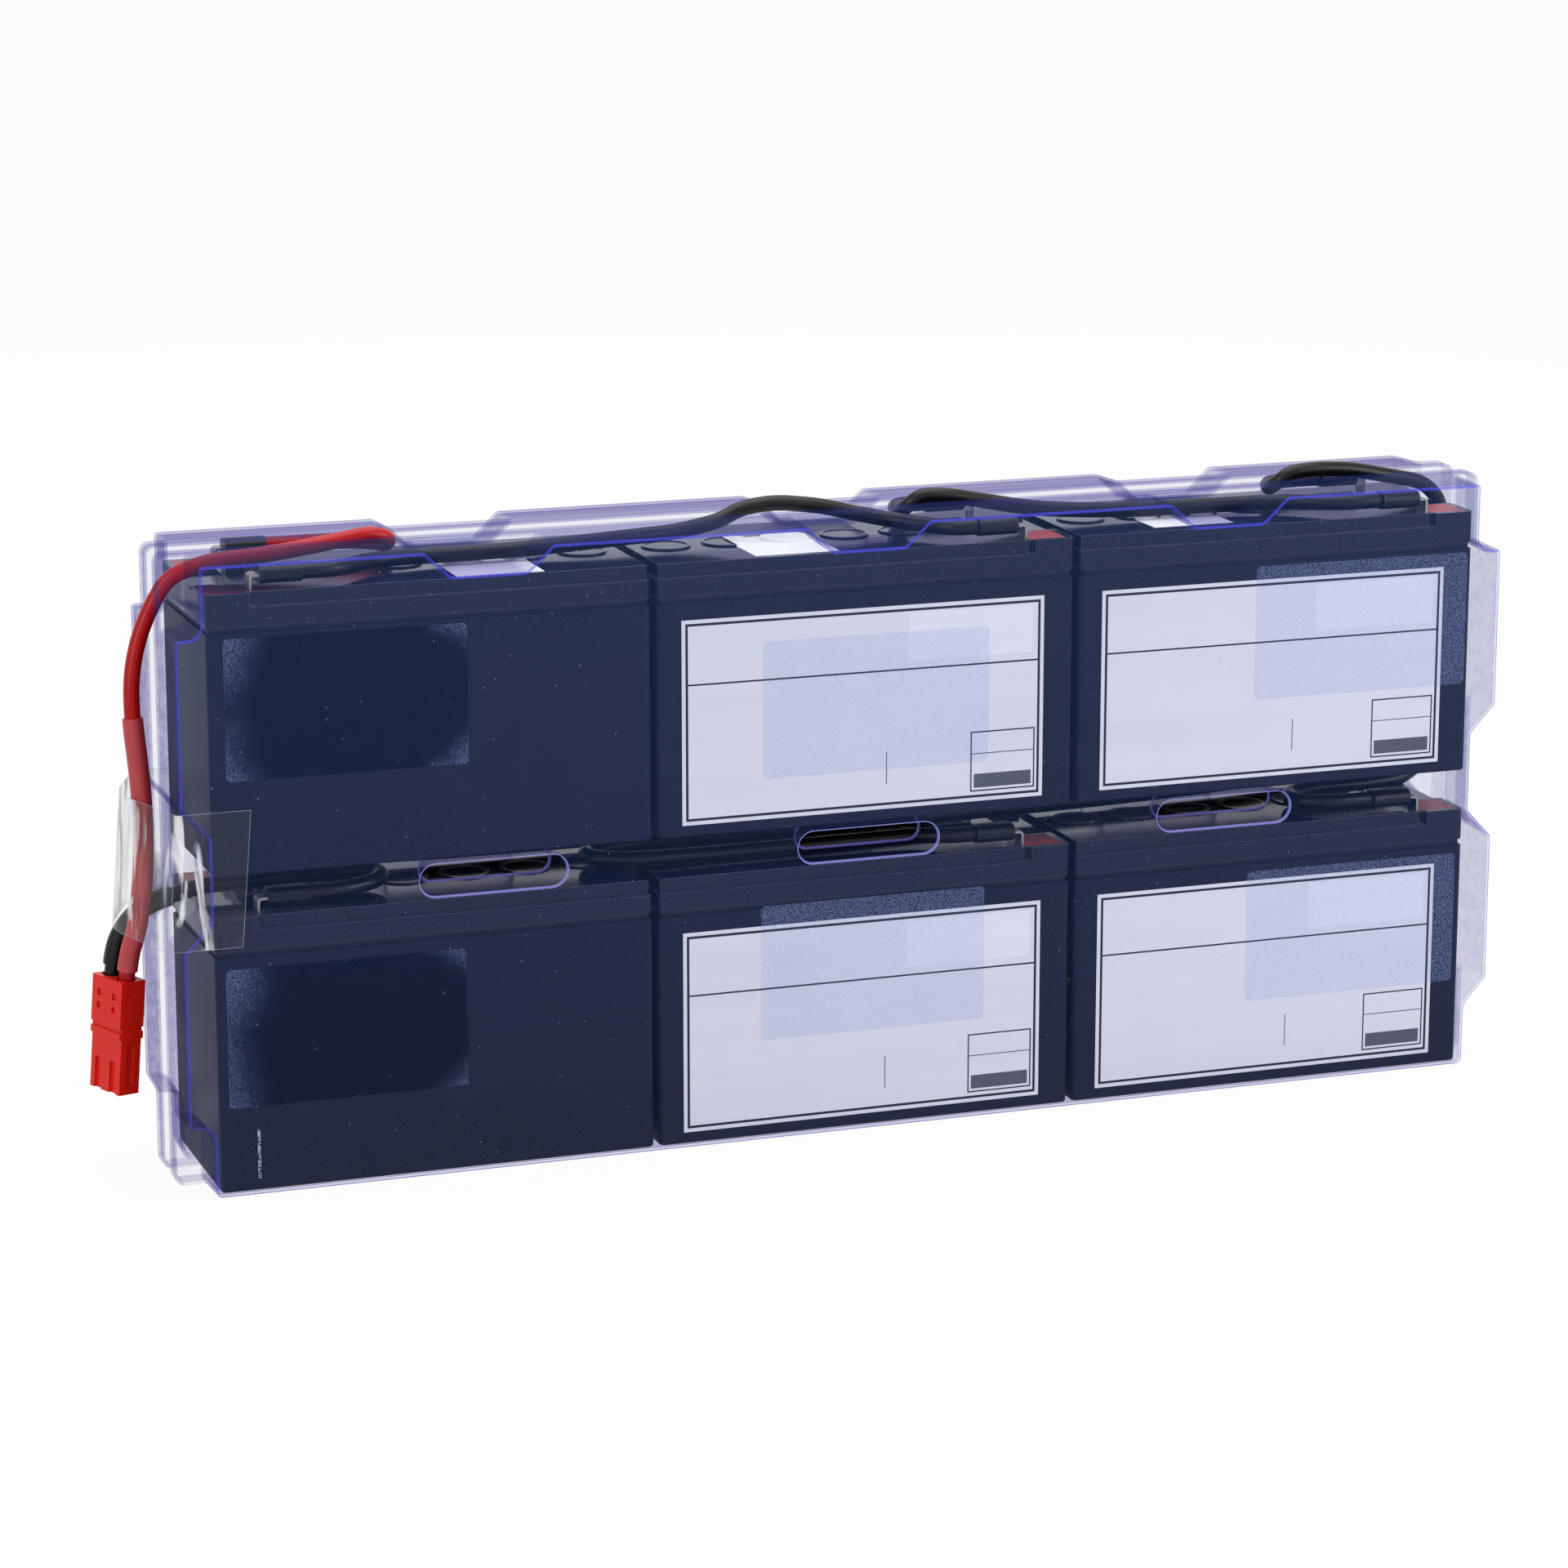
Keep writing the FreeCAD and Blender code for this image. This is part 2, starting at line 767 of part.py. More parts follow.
def black_lead_points():
    """The black lead from the lower left block's front terminal to the plug."""
    gap = gap_middle - row_gap / 2 + tab_rise - tab_thickness / 2
    lane = cell_depth / 2 - wire_lane_inset
    start = wire_end(0, 0, True)
    last_inside = from_left(4.4, -0.2, gap - 0.8)
    first_outside = from_left(-14.1, 2.2, gap - 5.6)
    leaves = along(last_inside, first_outside, 0.6)
    inside = [
        start,
        start + vec(15, 0, 0),
        from_left(58.4, -lane - 2, gap + 0.6),
        from_left(63.4, -9.5, gap + 0.9),
        from_left(56.4, -1.5, gap + 0.6),
        from_left(40.4, 0.6, gap - 0.2),
        from_left(23.4, 0.2, gap - 0.7),
        last_inside,
        leaves,
    ]
    outside = [
        leaves,
        first_outside,
        from_left(-21.2, 6.8, gap - 13.2),
    ]
    return inside, outside + plug_end(1, 8.0)


# ---- plug: two keyed housings side by side ---------------------------------

def plug_axes():
    """Directions along the stack, across it and down the plug."""
    turn = math.radians(housing_turn)
    lean = math.radians(housing_lean)
    down = vec(-math.sin(lean), 0, -math.cos(lean))
    stack = vec(-math.sin(turn), math.cos(turn), 0)
    across = down.cross(stack).normalize()
    stack = across.cross(down).normalize()
    return stack, across, down


def plug_top():
    """Middle of the top face, between the two housings."""
    top = lid_top + tab_rise - tab_thickness / 2
    return from_left(-24.6, 4.1, top - plug_below_tabs)


def plug_entry(pole):
    """Where a lead meets the top of its housing."""
    stack, across, down = plug_axes()
    return plug_top() + stack * ((pole - 0.5) * housing_width)


def plug_end(pole, straight):
    """The last two points of a lead, in line with its housing."""
    down = plug_axes()[2]
    return [plug_entry(pole) - down * straight, plug_entry(pole) + down * entry_depth]


def to_plug(shape, pole):
    """Moves a shape from plug axes (x across, y stack, z up) into place."""
    stack, across, down = plug_axes()
    matrix = FreeCAD.Matrix(
        across.x, stack.x, -down.x, 0,
        across.y, stack.y, -down.y, 0,
        across.z, stack.z, -down.z, 0,
        0, 0, 0, 1,
    )
    moved = shape.copy()
    moved.Placement = FreeCAD.Placement(matrix)
    moved.translate(plug_entry(pole))
    return moved


def plug_housing(pole):
    """One housing: grooved body, stepped waist and a slotted, open nose."""
    half = housing_width / 2
    breadth = housing_breadth / 2
    total = housing_body + housing_nose
    body = box(-breadth, breadth, -half, half, -housing_body, 0)
    nose = box(-breadth + 0.8, breadth - 0.8, -half, half, -total, -housing_body)
    hood = box(
        -breadth + 0.8 + housing_wall, breadth - 0.8 - housing_wall,
        -half + housing_wall, half - housing_wall,
        -total - 1, -housing_body - 1,
    )
    entry = Part.makeCylinder(wire_diameter / 2 + entry_clearance, entry_depth + 1, vec(0, 0, -entry_depth))
    housing = body.fuse(nose).cut([hood, entry])
    waist = 0.7
    for sign in (-1, 1):
        edge = sign * breadth
        low, high = min(edge, edge - sign * waist), max(edge, edge - sign * waist)
        band = box(low, high, -half, half, -housing_body + 2.4, -housing_body + 4)
        housing = housing.cut(band)
        window = box(low - 1, high + 1, -half + 2.2, half - 2.2, -total - 1, -total + 11)
        housing = housing.cut(window)
        for level in (4.5, 9.0):
            key = box(low, high, -1.2, 1.2, -level - 2.2, -level)
            housing = housing.cut(key)
    side = 1 if pole == 0 else -1
    face = -half * side
    low, high = min(face, face + side * 0.8), max(face, face + side * 0.8)
    groove = box(-1.4, 1.4, low, high, -total + 3, -housing_body - 2)
    housing = housing.cut(groove)
    return housing.removeSplitter()


def plug_contact():
    """The sprung blade inside a housing's nose."""
    breadth = contact_width / 2
    half = contact_thickness / 2
    low = -housing_body - 1 - contact_reach
    return box(-breadth, breadth, -half, half, low, -housing_body - 1)


# ---- clear tape round the left end, over the two leads ---------------------

def tape_wrap():
    """A band of film, stuck to both faces and bridging round the leads."""
    front = shell_half_depth + tape_lift
    right = -lug_half - 1.0 + tape_overlap
    corner = -lug_half - 1.0
    far = -lug_half - tape_bulge
    outer = tape_path(front + tape_thickness, right, corner - tape_thickness, far - tape_thickness)
    inner = tape_path(front, right, corner, far)
    ends = [
        Part.LineSegment(outer[0].Vertexes[0].Point, inner[0].Vertexes[0].Point).toShape(),
        Part.LineSegment(outer[-1].Vertexes[-1].Point, inner[-1].Vertexes[-1].Point).toShape(),
    ]
    profile = Part.Wire(Part.sortEdges(outer + inner + ends)[0])
    return Part.Face(profile).extrude(vec(-tape_lean, 0, -tape_height))


def tape_path(front, right, corner, far):
    top = gap_middle + side_notch_drop + tape_height / 2
    points = [
        vec(right, -front, top),
        vec(corner, -front, top),
        vec(far + 1.2, -5, top),
        vec(far, 3.5, top),
        vec(far + 1.2, 12, top),
        vec(corner, front, top),
        vec(right, front, top),
    ]
    middle = Part.Arc(points[2], points[3], points[4]).toShape()
    return [
        Part.LineSegment(points[0], points[1]).toShape(),
        Part.LineSegment(points[1], points[2]).toShape(),
        middle,
        Part.LineSegment(points[4], points[5]).toShape(),
        Part.LineSegment(points[5], points[6]).toShape(),
    ]


# ---- adhesive, labels and stickers -----------------------------------------

def adhesive_pad(column, row, front, label):
    """Sheet of adhesive between a block and a shell, fitted round the label."""
    x0, z0 = pad_places[row][column]
    y0 = -pad_thickness if front else cell_depth
    pad = box(x0, x0 + pad_length, y0, y0 + pad_thickness, z0, z0 + pad_height)
    pad.translate(cell_corner_point(column, row))
    return pad.cut(label)


def lid_stickers():
    """White paper stickers on the upper lids, draped over the vent covers."""
    stickers = []
    top = vent_height + sticker_drape + sticker_thickness
    middle = cell_depth / 2
    for column, x0, y0, width in sticker_places:
        x1 = x0 + sticker_length
        y1 = y0 + width
        sheet_part = box(x0, x1, y0, y1, cell_height, cell_height + sticker_thickness)
        area = box(x0, x1, y0, y1, cell_height, cell_height + top)
        for i in range(vent_count):
            x = vent_first + i * vent_pitch
            if column == 0:
                x = cell_length - x
            radius = vent_diameter / 2 + sticker_drape
            centre = vec(x, middle, cell_height)
            if x + radius < x0 or x - radius > x1:
                continue
            cap = Part.makeCylinder(radius + sticker_thickness, top, centre)
            cover = Part.makeCylinder(radius, vent_height + sticker_drape, centre)
            sheet_part = sheet_part.fuse(cap.common(area)).cut(cover)
        sheet_part.translate(cell_corner_point(column, rows - 1))
        stickers.append(sheet_part.removeSplitter())
    return Part.makeCompound(stickers)


def write_lead(name, routes, sleeve_start):
    """The held stretch, the free stretch and the sleeve over the free stretch."""
    inside, outside = routes
    write(name + "_inner", checked_tube(name + "_inner", route_edges(inside, name + "_inner"), wire_diameter))
    edges = route_edges(outside, name)
    write(name, checked_tube(name, edges, wire_diameter))
    write(name + "_sleeve", sleeve(edges, sleeve_start))


def build():
    os.makedirs("parts", exist_ok=True)
    shell = half_shell()
    write("front_shell", shell)
    write("rear_shell", shell.mirror(vec(0, 0, 0), vec(0, 1, 0)))
    container = cell_container()
    lid = cell_lid()
    front_y, rear_y = terminal_sides()
    tabs = Part.makeCompound([blade_tab(front_y), blade_tab(rear_y)])
    inlay = inlay_space(front_y)
    covers = vent_covers()
    label = face_label()
    boots = []
    front_pads = []
    rear_pads = []
    for row in range(rows):
        for column in range(columns):
            name = ("lower", "upper")[row] + "_" + ("left", "middle", "right")[column]
            write("container_" + name, place(container, column, row))
            write("lid_" + name, place(lid, column, row))
            write("vent_covers_" + name, place(covers, column, row))
            write("terminal_tabs_" + name, place(tabs, column, row))
            write("positive_mark_" + name, place(inlay, column, row))
            placed_label = place(label, column, row)
            write("label_" + name, placed_label)
            boots.append(place(boot(front_y), column, row))
            boots.append(place(boot(rear_y), column, row))
            front_pads.append(adhesive_pad(column, row, True, placed_label))
            rear_pads.append(adhesive_pad(column, row, False, placed_label))
    write("terminal_boots", Part.makeCompound(boots))
    write("front_adhesive_pads", Part.makeCompound(front_pads))
    write("rear_adhesive_pads", Part.makeCompound(rear_pads))
    write("lid_stickers", lid_stickers())
    for name, points in jumper_routes().items():
        write(name, checked_tube(name, route_edges(points, name), wire_diameter))
    write_lead("red_lead", red_lead_points(), red_sleeve_start)
    write_lead("black_lead", black_lead_points(), 0.0)
    for pole, name in enumerate(("red_lead_housing", "black_lead_housing")):
        write(name, to_plug(plug_housing(pole), pole))
    contacts = [to_plug(plug_contact(), pole) for pole in (0, 1)]
    write("plug_contacts", Part.makeCompound(contacts))
    write("tape_wrap", tape_wrap())


build()
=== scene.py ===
import math

import bmesh
import bpy
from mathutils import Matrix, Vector


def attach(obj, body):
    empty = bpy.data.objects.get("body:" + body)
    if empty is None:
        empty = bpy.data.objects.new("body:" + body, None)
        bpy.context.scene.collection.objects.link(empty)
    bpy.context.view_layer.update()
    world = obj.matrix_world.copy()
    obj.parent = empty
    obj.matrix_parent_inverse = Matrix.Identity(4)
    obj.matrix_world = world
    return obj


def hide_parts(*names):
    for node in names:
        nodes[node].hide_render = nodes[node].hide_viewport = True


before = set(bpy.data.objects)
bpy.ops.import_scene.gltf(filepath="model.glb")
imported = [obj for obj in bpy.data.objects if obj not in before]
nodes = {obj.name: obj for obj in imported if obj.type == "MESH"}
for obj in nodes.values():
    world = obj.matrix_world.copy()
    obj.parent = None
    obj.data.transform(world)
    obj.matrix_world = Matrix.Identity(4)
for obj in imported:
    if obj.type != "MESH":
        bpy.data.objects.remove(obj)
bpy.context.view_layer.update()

# ---- camera -----------------------------------------------------------------
# A long lens a little above the pack, turned towards its left end.

camera_data = bpy.data.cameras.new("studio_camera")
camera_data.sensor_width = 36.0
camera_data.lens = 108.9
camera = bpy.data.objects.new("studio_camera", camera_data)
camera.location = (-0.5585, -1.5057, 0.5002)
camera.rotation_euler = (math.radians(76.544), 0.0, math.radians(-19.718))
bpy.context.scene.collection.objects.link(camera)
bpy.context.scene.camera = camera


# ---- battery blocks: containers and lids --------------------------------------
# Sealed lead-acid blocks. Container and lid are injection-moulded black ABS with a
# fine spark-eroded texture, welded together along the seam under the lid.

def linear(hex_colour, alpha=1.0):
    """Turns an sRGB hex colour into the linear values that shaders take."""
    channels = [int(hex_colour[i:i + 2], 16) / 255 for i in (1, 3, 5)]
    flat = [c / 12.92 if c <= 0.04045 else ((c + 0.055) / 1.055) ** 2.4 for c in channels]
    return (*flat, alpha)


def add(tree, kind, values=None, **settings):
    """Adds one node with its settings, plain values and links."""
    node = tree.nodes.new(kind)
    for key, value in settings.items():
        setattr(node, key, value)
    for key, value in (values or {}).items():
        if isinstance(value, bpy.types.NodeSocket):
            tree.links.new(value, node.inputs[key])
        else:
            node.inputs[key].default_value = value
    return node


def new_finish(name):
    """An empty node material, as the material and its tree."""
    material = bpy.data.materials.new(name)
    material.use_nodes = True
    material.node_tree.nodes.clear()
    return material, material.node_tree


def coat(names, material):
    """Gives a material to carried-over solids."""
    for name in names:
        for slot in nodes[name].material_slots:
            slot.material = material


cells = [row + "_" + column for row in ("lower", "upper") for column in ("left", "middle", "right")]

abs_black, tree = new_finish("black_abs_satin")
place = add(tree, "ShaderNodeTexCoord")
cloud = add(tree, "ShaderNodeTexNoise", {"Vector": place.outputs["Object"], "Scale": 22.0, "Detail": 4.0})
rough = add(tree, "ShaderNodeMapRange", {"Value": cloud.outputs["Fac"], "To Min": 0.4, "To Max": 0.52})
shade = add(tree, "ShaderNodeMix", {
    "Factor": cloud.outputs["Fac"], 6: linear("#161a2b"), 7: linear("#1b2035")}, data_type="RGBA")
body = add(tree, "ShaderNodeBsdfPrincipled", {
    "Base Color": shade.outputs[2], "Roughness": rough.outputs["Result"],
    "IOR": 1.53, "Specular IOR Level": 0.12})
add(tree, "ShaderNodeOutputMaterial", {"Surface": body.outputs["BSDF"]})
coat(["container_" + name for name in cells], abs_black)

abs_lid, tree = new_finish("black_abs_lid")
place = add(tree, "ShaderNodeTexCoord")
cloud = add(tree, "ShaderNodeTexNoise", {"Vector": place.outputs["Object"], "Scale": 35.0, "Detail": 5.0})
rough = add(tree, "ShaderNodeMapRange", {"Value": cloud.outputs["Fac"], "To Min": 0.08, "To Max": 0.16})
edge = add(tree, "ShaderNodeBevel", {"Radius": 0.0003}, samples=4)
shape = add(tree, "ShaderNodeNewGeometry")
turn = add(tree, "ShaderNodeVectorMath", {
    0: edge.outputs["Normal"], 1: shape.outputs["Normal"]}, operation="DOT_PRODUCT")
# Painted highlight: the lid edges are mixed towards a light grey, standing in for glints where the rounded
# edges catch the lights.
painted_edge_glint = add(tree, "ShaderNodeMapRange", {
    "Value": turn.outputs["Value"], "From Min": 0.99, "From Max": 0.85, "To Min": 0.0, "To Max": 0.6})
shade = add(tree, "ShaderNodeMix", {
    "Factor": painted_edge_glint.outputs[0], 6: linear("#151b33"), 7: linear("#7c8294")}, data_type="RGBA")
body = add(tree, "ShaderNodeBsdfPrincipled", {
    "Base Color": shade.outputs[2], "Roughness": rough.outputs["Result"],
    "Normal": edge.outputs["Normal"], "IOR": 1.53, "Specular IOR Level": 0.24})
add(tree, "ShaderNodeOutputMaterial", {"Surface": body.outputs["BSDF"]})
coat(["lid_" + name for name in cells], abs_lid)
coat(["vent_covers_" + name for name in cells], abs_lid)


# ---- polarity inlays and terminals ----------------------------------------------
# A red inlay is moulded beside each positive terminal. The terminals are tin-plated
# brass blades, bent over, with the soft grey shine of matt tin.

red_inlay, tree = new_finish("red_abs_inlay")
place = add(tree, "ShaderNodeTexCoord")
haze = add(tree, "ShaderNodeTexNoise", {"Vector": place.outputs["Object"], "Scale": 300.0, "Detail": 3.0})
shade = add(tree, "ShaderNodeMix", {
    "Factor": haze.outputs["Fac"], 6: linear("#8c1420"), 7: linear("#981a26")}, data_type="RGBA")
body = add(tree, "ShaderNodeBsdfPrincipled", {
    "Base Color": shade.outputs[2], "Roughness": 0.36, "IOR": 1.53})
add(tree, "ShaderNodeOutputMaterial", {"Surface": body.outputs["BSDF"]})
coat(["positive_mark_" + name for name in cells], red_inlay)

tin, tree = new_finish("matt_tin_plate")
place = add(tree, "ShaderNodeTexCoord")
haze = add(tree, "ShaderNodeTexNoise", {"Vector": place.outputs["Object"], "Scale": 900.0, "Detail": 4.0})
rough = add(tree, "ShaderNodeMapRange", {"Value": haze.outputs["Fac"], "To Min": 0.25, "To Max": 0.42})
body = add(tree, "ShaderNodeBsdfPrincipled", {
    "Base Color": linear("#9a9a96"), "Metallic": 1.0, "Roughness": rough.outputs["Result"]})
add(tree, "ShaderNodeOutputMaterial", {"Surface": body.outputs["BSDF"]})
coat(["terminal_tabs_" + name for name in cells], tin)


# ---- labels -----------------------------------------------------------------------
# White polyester film on one long side of each block, printed with a dark border
# and ruled fields that are left empty, and plain white stickers on the upper lids.

# Places on the pack, in mm.
column_pitch = 152.9
row_pitch = 108.2
front_label_left = -219.8
rear_label_right = -86.0
label_foot = 5.9
label_size = (131.2, 70.6)

# The print, as left, right, low and high from a label's lower left corner, in mm.
width, height = label_size
label_border = ((1.3, width - 1.3, 1.3, height - 1.3), (2.2, width - 2.2, 2.2, height - 2.2))
box_border = ((104.4, 128.2, 3.4, 24.6), (104.9, 127.7, 3.9, 24.1))
header_rule = (2.2, width - 2.2, 48.0, 48.6)
short_rule = (73.4, 73.7, 8.5, 20.0)
box_rule = (104.9, 127.7, 16.6, 16.9)
dark_band = (105.7, 126.9, 4.7, 9.6)
writing_field = (81.5, 127.0, 51.2, 67.6)


def printed(tree, across, up, left, right, low, high):
    """One filled rectangle of a print or mark, in the units of across and up."""
    wide = add(tree, "ShaderNodeMath", {
        0: across, 1: (left + right) / 2, 2: (right - left) / 2}, operation="COMPARE")
    tall = add(tree, "ShaderNodeMath", {
        0: up, 1: (low + high) / 2, 2: (high - low) / 2}, operation="COMPARE")
    filled = add(tree, "ShaderNodeMath", {0: wide.outputs[0], 1: tall.outputs[0]}, operation="MULTIPLY")
    return filled.outputs[0]


film, tree = new_finish("printed_label_film")
place = add(tree, "ShaderNodeTexCoord")
spot = add(tree, "ShaderNodeVectorMath", {0: place.outputs["Object"], "Scale": 1000.0}, operation="SCALE")
axes = add(tree, "ShaderNodeSeparateXYZ", {0: spot.outputs[0]})
shifted = add(tree, "ShaderNodeMath", {0: axes.outputs[0], 1: front_label_left}, operation="SUBTRACT")
front_across = add(tree, "ShaderNodeMath", {
    0: shifted.outputs[0], 1: column_pitch}, operation="FLOORED_MODULO")
rear_across = add(tree, "ShaderNodeMath", {0: rear_label_right, 1: axes.outputs[0]}, operation="SUBTRACT")
behind = add(tree, "ShaderNodeMath", {0: axes.outputs[1], 1: 0.0}, operation="GREATER_THAN")
across = add(tree, "ShaderNodeMix", {
    0: behind.outputs[0], 2: front_across.outputs[0], 3: rear_across.outputs[0]}).outputs[0]
raised = add(tree, "ShaderNodeMath", {0: axes.outputs[2], 1: label_foot}, operation="SUBTRACT")
up = add(tree, "ShaderNodeMath", {0: raised.outputs[0], 1: row_pitch}, operation="FLOORED_MODULO").outputs[0]
ink = None
for outer, inner in (label_border, box_border):
    whole = printed(tree, across, up, *outer)
    hole = printed(tree, across, up, *inner)
    frame_line = add(tree, "ShaderNodeMath", {0: whole, 1: hole}, operation="SUBTRACT").outputs[0]
    ink = frame_line if ink is None else add(
        tree, "ShaderNodeMath", {0: ink, 1: frame_line}, operation="MAXIMUM").outputs[0]
for rule in (header_rule, short_rule, box_rule):
    line = printed(tree, across, up, *rule)
    ink = add(tree, "ShaderNodeMath", {0: ink, 1: line}, operation="MAXIMUM").outputs[0]
band = printed(tree, across, up, *dark_band)
field = printed(tree, across, up, *writing_field)
mottle = add(tree, "ShaderNodeTexNoise", {"Vector": place.outputs["Object"], "Scale": 60.0, "Detail": 3.0})
paper = add(tree, "ShaderNodeMix", {
    "Factor": mottle.outputs["Fac"], 6: linear("#f0f0f2"), 7: linear("#ebebee")}, data_type="RGBA")
write_on = add(tree, "ShaderNodeMix", {
    "Factor": field, 6: paper.outputs[2], 7: linear("#f6f6f8")}, data_type="RGBA")
grey = add(tree, "ShaderNodeMix", {
    "Factor": band, 6: write_on.outputs[2], 7: linear("#5c5e68")}, data_type="RGBA")
face = add(tree, "ShaderNodeMix", {"Factor": ink, 6: grey.outputs[2], 7: linear("#24262e")}, data_type="RGBA")
body = add(tree, "ShaderNodeBsdfPrincipled", {
    "Base Color": face.outputs[2], "Roughness": 0.45, "IOR": 1.5, "Specular IOR Level": 0.2})
add(tree, "ShaderNodeOutputMaterial", {"Surface": body.outputs["BSDF"]})
coat(["label_" + name for name in cells], film)

paper_sticker, tree = new_finish("white_paper_sticker")
place = add(tree, "ShaderNodeTexCoord")
fibre = add(tree, "ShaderNodeTexNoise", {"Vector": place.outputs["Object"], "Scale": 700.0, "Detail": 4.0})
shade = add(tree, "ShaderNodeMix", {
    "Factor": fibre.outputs["Fac"], 6: linear("#f4f4f2"), 7: linear("#e9e9e8")}, data_type="RGBA")
body = add(tree, "ShaderNodeBsdfPrincipled", {
    "Base Color": shade.outputs[2], "Roughness": 0.6, "IOR": 1.5})
add(tree, "ShaderNodeOutputMaterial", {"Surface": body.outputs["BSDF"]})
coat(["lid_stickers"], paper_sticker)


# ---- wiring inside the shells ---------------------------------------------------------
# Soft black vinyl boots over the terminals, and series jumpers of stranded copper
# in glossy black vinyl insulation.

black_vinyl, tree = new_finish("black_vinyl")
place = add(tree, "ShaderNodeTexCoord")
haze = add(tree, "ShaderNodeTexNoise", {"Vector": place.outputs["Object"], "Scale": 120.0, "Detail": 3.0})
rough = add(tree, "ShaderNodeMapRange", {"Value": haze.outputs["Fac"], "To Min": 0.22, "To Max": 0.36})
body = add(tree, "ShaderNodeBsdfPrincipled", {
    "Base Color": linear("#0d0d0e"), "Roughness": rough.outputs["Result"], "IOR": 1.53,
    "Specular IOR Level": 0.2})
add(tree, "ShaderNodeOutputMaterial", {"Surface": body.outputs["BSDF"]})
coat(["terminal_boots", "jumper_top_left", "jumper_top_right", "jumper_end"], black_vinyl)
coat(["jumper_low_left", "jumper_low_right", "black_lead_inner"], black_vinyl)

red_vinyl, tree = new_finish("red_vinyl")
place = add(tree, "ShaderNodeTexCoord")
haze = add(tree, "ShaderNodeTexNoise", {"Vector": place.outputs["Object"], "Scale": 90.0, "Detail": 3.0})
rough = add(tree, "ShaderNodeMapRange", {"Value": haze.outputs["Fac"], "To Min": 0.24, "To Max": 0.36})
body = add(tree, "ShaderNodeBsdfPrincipled", {
    "Base Color": linear("#a20a0d"), "Roughness": rough.outputs["Result"], "IOR": 1.53,
    "Specular IOR Level": 0.18,
    "Subsurface Weight": 0.08, "Subsurface Radius": (0.002, 0.0004, 0.0004), "Subsurface Scale": 0.5})
add(tree, "ShaderNodeOutputMaterial", {"Surface": body.outputs["BSDF"]})
coat(["red_lead_inner"], red_vinyl)


# ---- free leads ---------------------------------------------------------------------------
# Two battery leads that hang at the left end: 5.4 mm red and black vinyl wire,
# covered with shrunk sleeve down to the plug.

wire_diameter = 0.0054
sleeve_radius = 0.00345
sleeve_start = 0.031
bare_at_plug = 0.006


def round_cord(name, kind, points, radius, material):
    """A capped round cord along one spline, and the spline. Its points hold its radius."""
    curve = bpy.data.curves.new(name, "CURVE")
    curve.dimensions = "3D"
    curve.resolution_u = 16
    curve.bevel_depth = 1.0
    curve.bevel_resolution = 8
    curve.use_fill_caps = True
    spline = curve.splines.new(kind)
    spline.points.add(len(points) - 1)
    for point, place in zip(spline.points, points):
        point.co = (*place, 1.0)
        point.radius = radius
    curve.materials.append(material)
    piece = bpy.data.objects.new(name, curve)
    bpy.context.scene.collection.objects.link(piece)
    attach(piece, "root")
    return piece, spline


def lead(name, route, material):
    """A free lead on a smooth line drawn by its route, which is in mm."""
    points = [(x / 1000, y / 1000, z / 1000) for x, y, z in route]
    piece, spline = round_cord(name, "NURBS", points, wire_diameter / 2, material)
    spline.order_u = 3
    spline.use_endpoint_u = True
    return piece


def line_of(piece):
    """Points along a lead's own line."""
    bevel = piece.data.bevel_depth
    piece.data.bevel_depth = 0.0
    bpy.context.view_layer.update()
    shown = piece.evaluated_get(bpy.context.evaluated_depsgraph_get())
    mesh = bpy.data.meshes.new_from_object(shown)
    points = [v.co.copy() for v in mesh.vertices]
    bpy.data.meshes.remove(mesh)
    piece.data.bevel_depth = bevel
    return points


def length_of(points):
    """The length of a line, run by run."""
    return sum((b - a).length for a, b in zip(points, points[1:]))


top = 208.5
gap = 100.3
red_route = [
    (-241.6, 0.4, top - 18.95), (-243.9, 0.2, top - 24), (-247, -1.5, top - 36.5),
    (-247.3, -3, top - 50.5), (-245.8, -3.4, top - 66), (-244.9, -3.4, top - 81),
    (-245, -3.4, top - 96), (-246.2, -4.0, top - 109.5), (-248.1, -3.2, top - 121.5),
    (-250.81, 0.48, 75.98), (-251.54, 0.48, 66.51),
]
black_route = [
    (-235.1, 1.24, gap - 3.68), (-242.5, 2.2, gap - 5.6), (-249.6, 6.8, gap - 13.2),
    (-254.08, 7.72, 77.48), (-254.92, 7.72, 66.51),
]
red_wire = lead("red_wire_free", red_route, red_vinyl)
black_wire = lead("black_wire_free", black_route, black_vinyl)

red_shrink, tree = new_finish("red_shrunk_sleeve")
place = add(tree, "ShaderNodeTexCoord")
haze = add(tree, "ShaderNodeTexNoise", {"Vector": place.outputs["Object"], "Scale": 160.0, "Detail": 4.0})
shade = add(tree, "ShaderNodeMix", {
    "Factor": haze.outputs["Fac"], 6: linear("#a52c33"), 7: linear("#b0363d")}, data_type="RGBA")
bump = add(tree, "ShaderNodeBump", {"Height": haze.outputs["Fac"], "Strength": 0.15, "Distance": 0.0004})
body = add(tree, "ShaderNodeBsdfPrincipled", {
    "Base Color": shade.outputs[2], "Roughness": 0.42, "IOR": 1.5, "Normal": bump.outputs["Normal"],
    "Subsurface Weight": 0.2, "Subsurface Radius": (0.002, 0.0006, 0.0006), "Subsurface Scale": 0.5})
add(tree, "ShaderNodeOutputMaterial", {"Surface": body.outputs["BSDF"]})


def sleeve(name, wire, start, end, material):
    """Shrunk sleeve over a stretch of a lead, between two lengths along it."""
    points = line_of(wire)
    kept = []
    passed = 0.0
    for a, b in zip(points, points[1:]):
        if start <= passed <= end:
            kept.append(a)
        passed += (b - a).length
    piece, _ = round_cord(name, "POLY", kept, sleeve_radius, material)
    return piece


